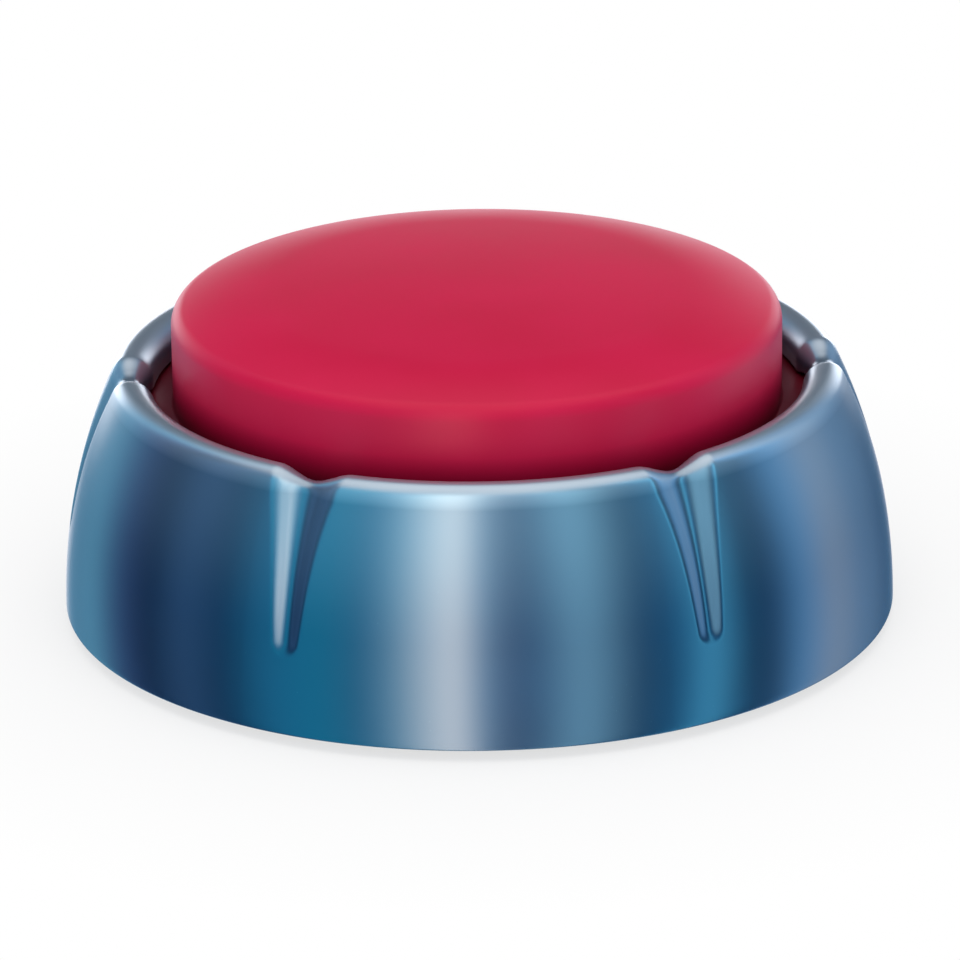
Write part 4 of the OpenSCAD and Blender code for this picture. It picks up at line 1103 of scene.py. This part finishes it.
# --- The rest of the dressed pieces ---
@dataclass
class Internals:
    """Springs and rubber dome."""

    deck_top: float
    spring: Spring = field(default_factory=Spring)
    spring_lift: float = 0.05
    travel: float = 3.5
    dome_gap: float = 0.15

    def springs(self) -> None:
        """Builds the three return springs."""
        for i in range(3):
            node = f"return_spring_{i + 1}"
            low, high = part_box(node)
            foot = (*(1000 * (low + high) / 2)[:2], self.deck_top + self.spring_lift)
            piece = self.spring.build(f"coil_{i + 1}", foot, SPRING_WIRE)
            wear(piece, SPRING_WIRE, Body.BASE, node)
            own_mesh(piece)

    def dome(self, board_top: float, top: float) -> None:
        """Builds the rubber dome."""
        height = top - board_top
        foot_r, head_r, skirt_r, pill_r, wall = 7.0, 3.5, 5.2, 2.3, 0.6
        head = height * 0.62
        profile: Profile = [(0.0, height - 0.15), (1.2, height - 0.05), (head_r - 0.5, height)]
        profile += arc((head_r - 0.5, height - 0.5), 0.5, 80, 0, 5)
        profile += [(head_r, head + 0.3), (head_r + 0.12, head), (skirt_r + 0.1, 1.35), (skirt_r + 0.45, 1.05)]
        profile += arc((foot_r - 0.3, 0.7), 0.3, 90, 0, 4) + [(foot_r, 0.0), (skirt_r - wall, 0.0)]
        profile += [(skirt_r - wall, 0.7), (head_r - wall, head - 0.4)]
        profile += [(pill_r, head - 0.4), (pill_r, head - 0.9), (0.0, head - 0.9)]
        skin = revolve("dome_skin", [(r, z + board_top) for r, z in profile], closed=False, segments=72)
        nub = revolve(
            "nub",
            [(0.0, board_top - 1.9), (0.8, board_top - 1.9), (1.1, board_top - 1.2), (0.78, board_top - 1.2),
             (0.78, board_top + 0.4), (0.0, board_top + 0.4)],
            closed=False, segments=24,
        )
        nubs = RingOf("dome_nubs", 2, foot_r - 1.2, 90.0).build(nub, SILICONE)
        dome = join("dome", [skin, nubs])
        outwards(dome)
        wear(dome, SILICONE, Body.BASE, "rubber_dome")
        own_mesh(dome)


@dataclass
class Underside:
    """Feet and the screws that close the housing, as seen from below."""

    foot_ring_r: float = 38.0
    foot_r: float = 5.0
    foot_top: float = 2.3
    screw_ring_r: float = 40.0
    well_seat: float = 5.0

    def feet(self) -> None:
        """Builds four moulded feet with a rounded edge and a shallow dished face."""
        profile: Profile = [(0.0, 0.12), (3.2, 0.12)] + arc((3.6, 0.5), 0.5, 250, 290, 4)
        profile += arc((self.foot_r - 0.7, 0.7), 0.7, 275, 360, 8)
        profile += [(self.foot_r, self.foot_top - 0.1), (self.foot_r - 0.1, self.foot_top), (0.0, self.foot_top)]
        foot = revolve("foot", [(r, max(z, 0.0)) for r, z in profile], closed=False, segments=48)
        spare = foot.copy()
        spare.data = foot.data.copy()
        bpy.context.scene.collection.objects.link(spare)
        front = RingOf("front_feet", 2, self.foot_ring_r, -135.0, step_deg=90.0).build(foot, FOOT_RUBBER)
        back = RingOf("back_feet", 2, self.foot_ring_r, 60.0, step_deg=60.0).build(spare, FOOT_RUBBER)
        feet = join("feet", [front, back])
        wear(feet, FOOT_RUBBER, Body.BASE, *(f"rubber_foot_{i + 1}" for i in range(4)))

    def screws(self) -> None:
        """Builds the three screws deep in their wells."""
        screw = ScrewKind(head_r=2.8, head_h=2.0, shank_r=1.45, shank_l=8.0).flipped()
        places = RingOf("closing_screws", 3, self.screw_ring_r, -30.0, (0.0, 0.0, self.well_seat))
        ring = places.build(screw, SCREW_ZINC)
        wear(ring, SCREW_ZINC, Body.BASE, "base_screws")


# --- Studio ---
@dataclass(frozen=True)
class Strip:
    """One upright strip of light in the room round the object, seen only in reflections."""

    azimuth: float
    colour: tuple[float, float, float]


@dataclass(frozen=True)
class Softbox:
    """A soft patch of light in the room round one direction, seen only in reflections."""

    direction: Point
    inner_deg: float
    outer_deg: float
    colour: tuple[float, float, float]

    def over(self, tree: bpy.types.NodeTree, parts: Any, below: Any) -> Any:
        """Lays the patch over what the room shows.

        Args:
            tree: The world's tree.
            parts: Node that gives the direction's X, Y and Z.
            below: Colour socket of the room so far.

        Returns:
            The colour socket with the patch.
        """
        way = add_node(tree, "ShaderNodeCombineXYZ", {axis: parts.outputs[axis] for axis in "XYZ"}).outputs["Vector"]
        aim = tuple(Vector(self.direction).normalized())
        near = add_node(tree, "ShaderNodeVectorMath", {0: way, 1: aim}, operation="DOT_PRODUCT").outputs["Value"]
        edges = [math.cos(math.radians(angle)) for angle in (self.outer_deg, self.inner_deg)]
        share = rescale(tree, near, edges, interpolation_type="SMOOTHSTEP")
        return mix(tree, share, below, (*self.colour, 1.0))


@dataclass
class Studio:
    """Camera, floor, lamps and the room that the lacquer mirrors."""

    azimuth: float = -2.8
    elevation: float = 20.71
    distance: float = 0.7985
    aim_side: float = 0.00019
    aim_up: float = 0.01493
    roll: float = -0.64
    lens: float = 261.66
    shadow_r: tuple[float, float] = (0.047, 0.088)  # where the floor starts and ends its fade to white
    shadow_share: tuple[float, float] = (0.7, 1.0)  # how white the floor is at both

    def camera(self) -> None:
        """Places the camera."""
        data = bpy.data.cameras.new("Camera")
        data.lens, data.sensor_width = self.lens, 36.0
        data.clip_start, data.clip_end = 0.05, 20.0
        camera = put("Camera", data)
        bpy.context.scene.camera = camera
        a, e, roll = (math.radians(v) for v in (self.azimuth, self.elevation, self.roll))
        right = Vector((math.cos(a), math.sin(a), 0.0))
        back = Vector((math.sin(a) * math.cos(e), -math.cos(a) * math.cos(e), math.sin(e)))
        up = back.cross(right)
        across = right * math.cos(roll) + up * math.sin(roll)
        upright = up * math.cos(roll) - right * math.sin(roll)
        turn = Matrix((across, upright, back)).transposed().to_4x4()
        aim = right * self.aim_side + Vector((0.0, 0.0, self.aim_up))
        camera.matrix_world = Matrix.Translation(aim + back * self.distance) @ turn

    def lamp(self, name: str, place: Point, aim: Point, size: tuple[float, float], watts: float, tint: str) -> None:
        """Hangs one soft lamp that glossy surfaces don't mirror."""
        data = bpy.data.lights.new(name, "AREA")
        data.shape, data.size, data.size_y = "RECTANGLE", size[0], size[1]
        data.energy, data.color = watts, linear(tint)[:3]
        lamp = put(name, data)
        lamp.location = Vector(place)
        lamp.rotation_mode = "QUATERNION"
        lamp.rotation_quaternion = (Vector(place) - Vector(aim)).to_track_quat("Z", "Y")
        lamp.visible_glossy = False

    def lamps(self) -> None:
        """Hangs the lamps that light the body colours."""
        self.lamp("TopLamp", (0.0, -0.15, 0.9), (0, 0, 0), (0.9, 0.9), 3.7, "FFFFFF")
        self.lamp("FrontLamp", (-0.1, -0.9, 0.5), (0, 0, 0.02), (0.7, 0.5), 0.8, "FFFFFF")

    def room(self) -> None:
        """Builds the world: white to the camera, an even glow for body colours, and strips in reflections."""
        world = bpy.data.worlds.new("Room")
        bpy.context.scene.world = world
        world.use_nodes = True
        tree = world.node_tree
        tree.nodes.clear()
        way = add_node(tree, "ShaderNodeTexCoord").outputs["Generated"]
        parts = add_node(tree, "ShaderNodeSeparateXYZ", {"Vector": way})
        flipped = maths(tree, "MULTIPLY", parts.outputs["Y"], -1.0)
        around = rescale(tree, maths(tree, "ARCTAN2", parts.outputs["X"], flipped), (-math.pi, math.pi))
        stops = [((s.azimuth + 180) / 360, (*(c / BRIGHTEST for c in s.colour), 1.0)) for s in STRIPS]
        strips = add_node(
            tree, "ShaderNodeVectorMath", {0: ramp(tree, around, stops), 1: (BRIGHTEST,) * 3}, operation="MULTIPLY"
        ).outputs["Vector"]
        seen = strips
        for patch in GLOWS:
            seen = patch.over(tree, parts, seen)
        path = add_node(tree, "ShaderNodeLightPath")
        glow = mix(tree, path.outputs["Is Glossy Ray"], (*GLOW, 1.0), seen)
        final = mix(tree, path.outputs["Is Camera Ray"], glow, (1, 1, 1, 1))
        light = add_node(tree, "ShaderNodeBackground", {"Color": final, "Strength": 1.0})
        add_node(tree, "ShaderNodeOutputWorld", {"Surface": light.outputs["Background"]})
        world.cycles.sampling_method = "NONE"

    def floor(self) -> None:
        """Lays a white floor that keeps a faint shadow, fades to white and can't be seen from below."""
        floor = revolve("Floor", [(0.0, 0.0), (60.0, 0.0), (200.0, 0.0), (600.0, 0.0)], closed=False, segments=64)
        for face in floor.data.polygons:
            if face.normal.z < 0:
                face.flip()
        material = bpy.data.materials.new("StudioFloor")
        material.use_nodes = True
        tree = material.node_tree
        tree.nodes.clear()
        matt = add_node(tree, "ShaderNodeBsdfDiffuse", {"Color": linear("F4F4F4")})
        white = add_node(tree, "ShaderNodeEmission", {"Color": (1, 1, 1, 1), "Strength": 1.0})
        place = add_node(tree, "ShaderNodeTexCoord").outputs["Object"]
        far = add_node(tree, "ShaderNodeVectorMath", {0: place}, operation="LENGTH").outputs["Value"]
        share = rescale(tree, far, self.shadow_r, self.shadow_share)
        path = add_node(tree, "ShaderNodeLightPath")
        glow = maths(tree, "MULTIPLY", share, path.outputs["Is Camera Ray"])
        lit = add_node(tree, "ShaderNodeMixShader", {"Fac": glow, 1: matt.outputs[0], 2: white.outputs[0]}).outputs[0]
        clear = add_node(tree, "ShaderNodeBsdfTransparent").outputs[0]
        under = add_node(tree, "ShaderNodeNewGeometry").outputs["Backfacing"]
        open_ = maths(tree, "MAXIMUM", under, path.outputs["Is Glossy Ray"])
        out = add_node(tree, "ShaderNodeMixShader", {"Fac": open_, 1: lit, 2: clear}).outputs[0]
        add_node(tree, "ShaderNodeOutputMaterial", {"Surface": out})
        floor.data.materials.append(material)

    def build(self) -> None:
        """Builds the whole studio."""
        self.camera()
        self.lamps()
        self.room()
        self.floor()


# Soft patches of light that reflections show over the strips, first to last
GLOWS = (
    Softbox((0.0, 1.0, 0.42), 12.0, 40.0, (0.05, 0.06, 0.08)),
    Softbox((0.0, 1.0, -0.15), 5.0, 22.0, (1.6, 1.6, 1.7)),
    Softbox((-0.38, 0.92, 0.06), 5.0, 17.0, (3.0, 3.1, 3.3)),
    Softbox((0.38, 0.92, 0.06), 5.0, 17.0, (2.4, 2.5, 2.7)),
    Softbox((0.0, 0.0, 1.0), 10.0, 50.0, (1.8, 1.65, 1.55)),
)
# Even glow that lights the body colours from all round
GLOW = (0.61, 0.61, 0.61)
# Brightest strip that the room may hold
BRIGHTEST = 20.0
# Upright strips round the room, by azimuth from the front towards +X
STRIPS = (
    Strip(-180, (0.12, 0.28, 0.45)),
    Strip(-150, (0.15, 0.40, 0.60)),
    Strip(-135, (0.25, 0.75, 1.05)),
    Strip(-118, (0.10, 0.14, 0.41)),
    Strip(-104, (0.00, 0.00, 0.00)),
    Strip(-90, (0.16, 0.39, 0.77)),
    Strip(-76, (0.00, 0.00, 0.00)),
    Strip(-62, (0.06, 0.82, 1.33)),
    Strip(-46, (0.00, 1.04, 1.39)),
    Strip(-35, (0.00, 0.53, 0.87)),
    Strip(-26, (0.52, 1.57, 1.96)),
    Strip(-17, (3.21, 3.63, 3.43)),
    Strip(-9, (7.45, 6.85, 5.88)),
    Strip(-3, (0.13, 1.00, 1.59)),
    Strip(4, (0.20, 0.19, 0.26)),
    Strip(12, (0.15, 0.28, 0.45)),
    Strip(25, (1.28, 2.53, 2.96)),
    Strip(40, (0.00, 0.00, 0.00)),
    Strip(53, (0.00, 0.26, 0.55)),
    Strip(62, (0.51, 2.51, 3.51)),
    Strip(73, (0.00, 0.00, 0.00)),
    Strip(84, (0.00, 0.00, 0.01)),
    Strip(96, (0.39, 1.19, 2.04)),
    Strip(109, (1.00, 1.20, 1.40)),
    Strip(126, (0.30, 0.55, 0.85)),
    Strip(149, (0.06, 0.14, 0.26)),
    Strip(180, (0.12, 0.28, 0.45)),
)


def main() -> None:
    """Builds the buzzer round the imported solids."""
    logging.basicConfig(level=logging.INFO, format="%(name)s: %(message)s")
    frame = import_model()
    bpy.context.scene.view_settings.view_transform = "Standard"
    Studio().build()
    for node, finish in NODE_FINISHES.items():
        thing = frame["nodes"][node]
        paint = Paint.of(finish)
        if thing.material_slots:
            for place in thing.material_slots:
                place.material = paint
        else:
            thing.data.materials.append(paint)
    wear(Housing().build(), LACQUER, Body.BASE, "housing")
    Button().build()
    deck_top = 1000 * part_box("return_spring_1")[0][2] - Internals.spring_lift
    insides = Internals(deck_top)
    insides.springs()
    dome_top = 1000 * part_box("rubber_dome")[1][2]
    board_top = 1000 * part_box("circuit_board")[1][2]
    insides.dome(board_top, dome_top)
    underside = Underside()
    underside.feet()
    underside.screws()


if __name__ == "__main__":
    main()
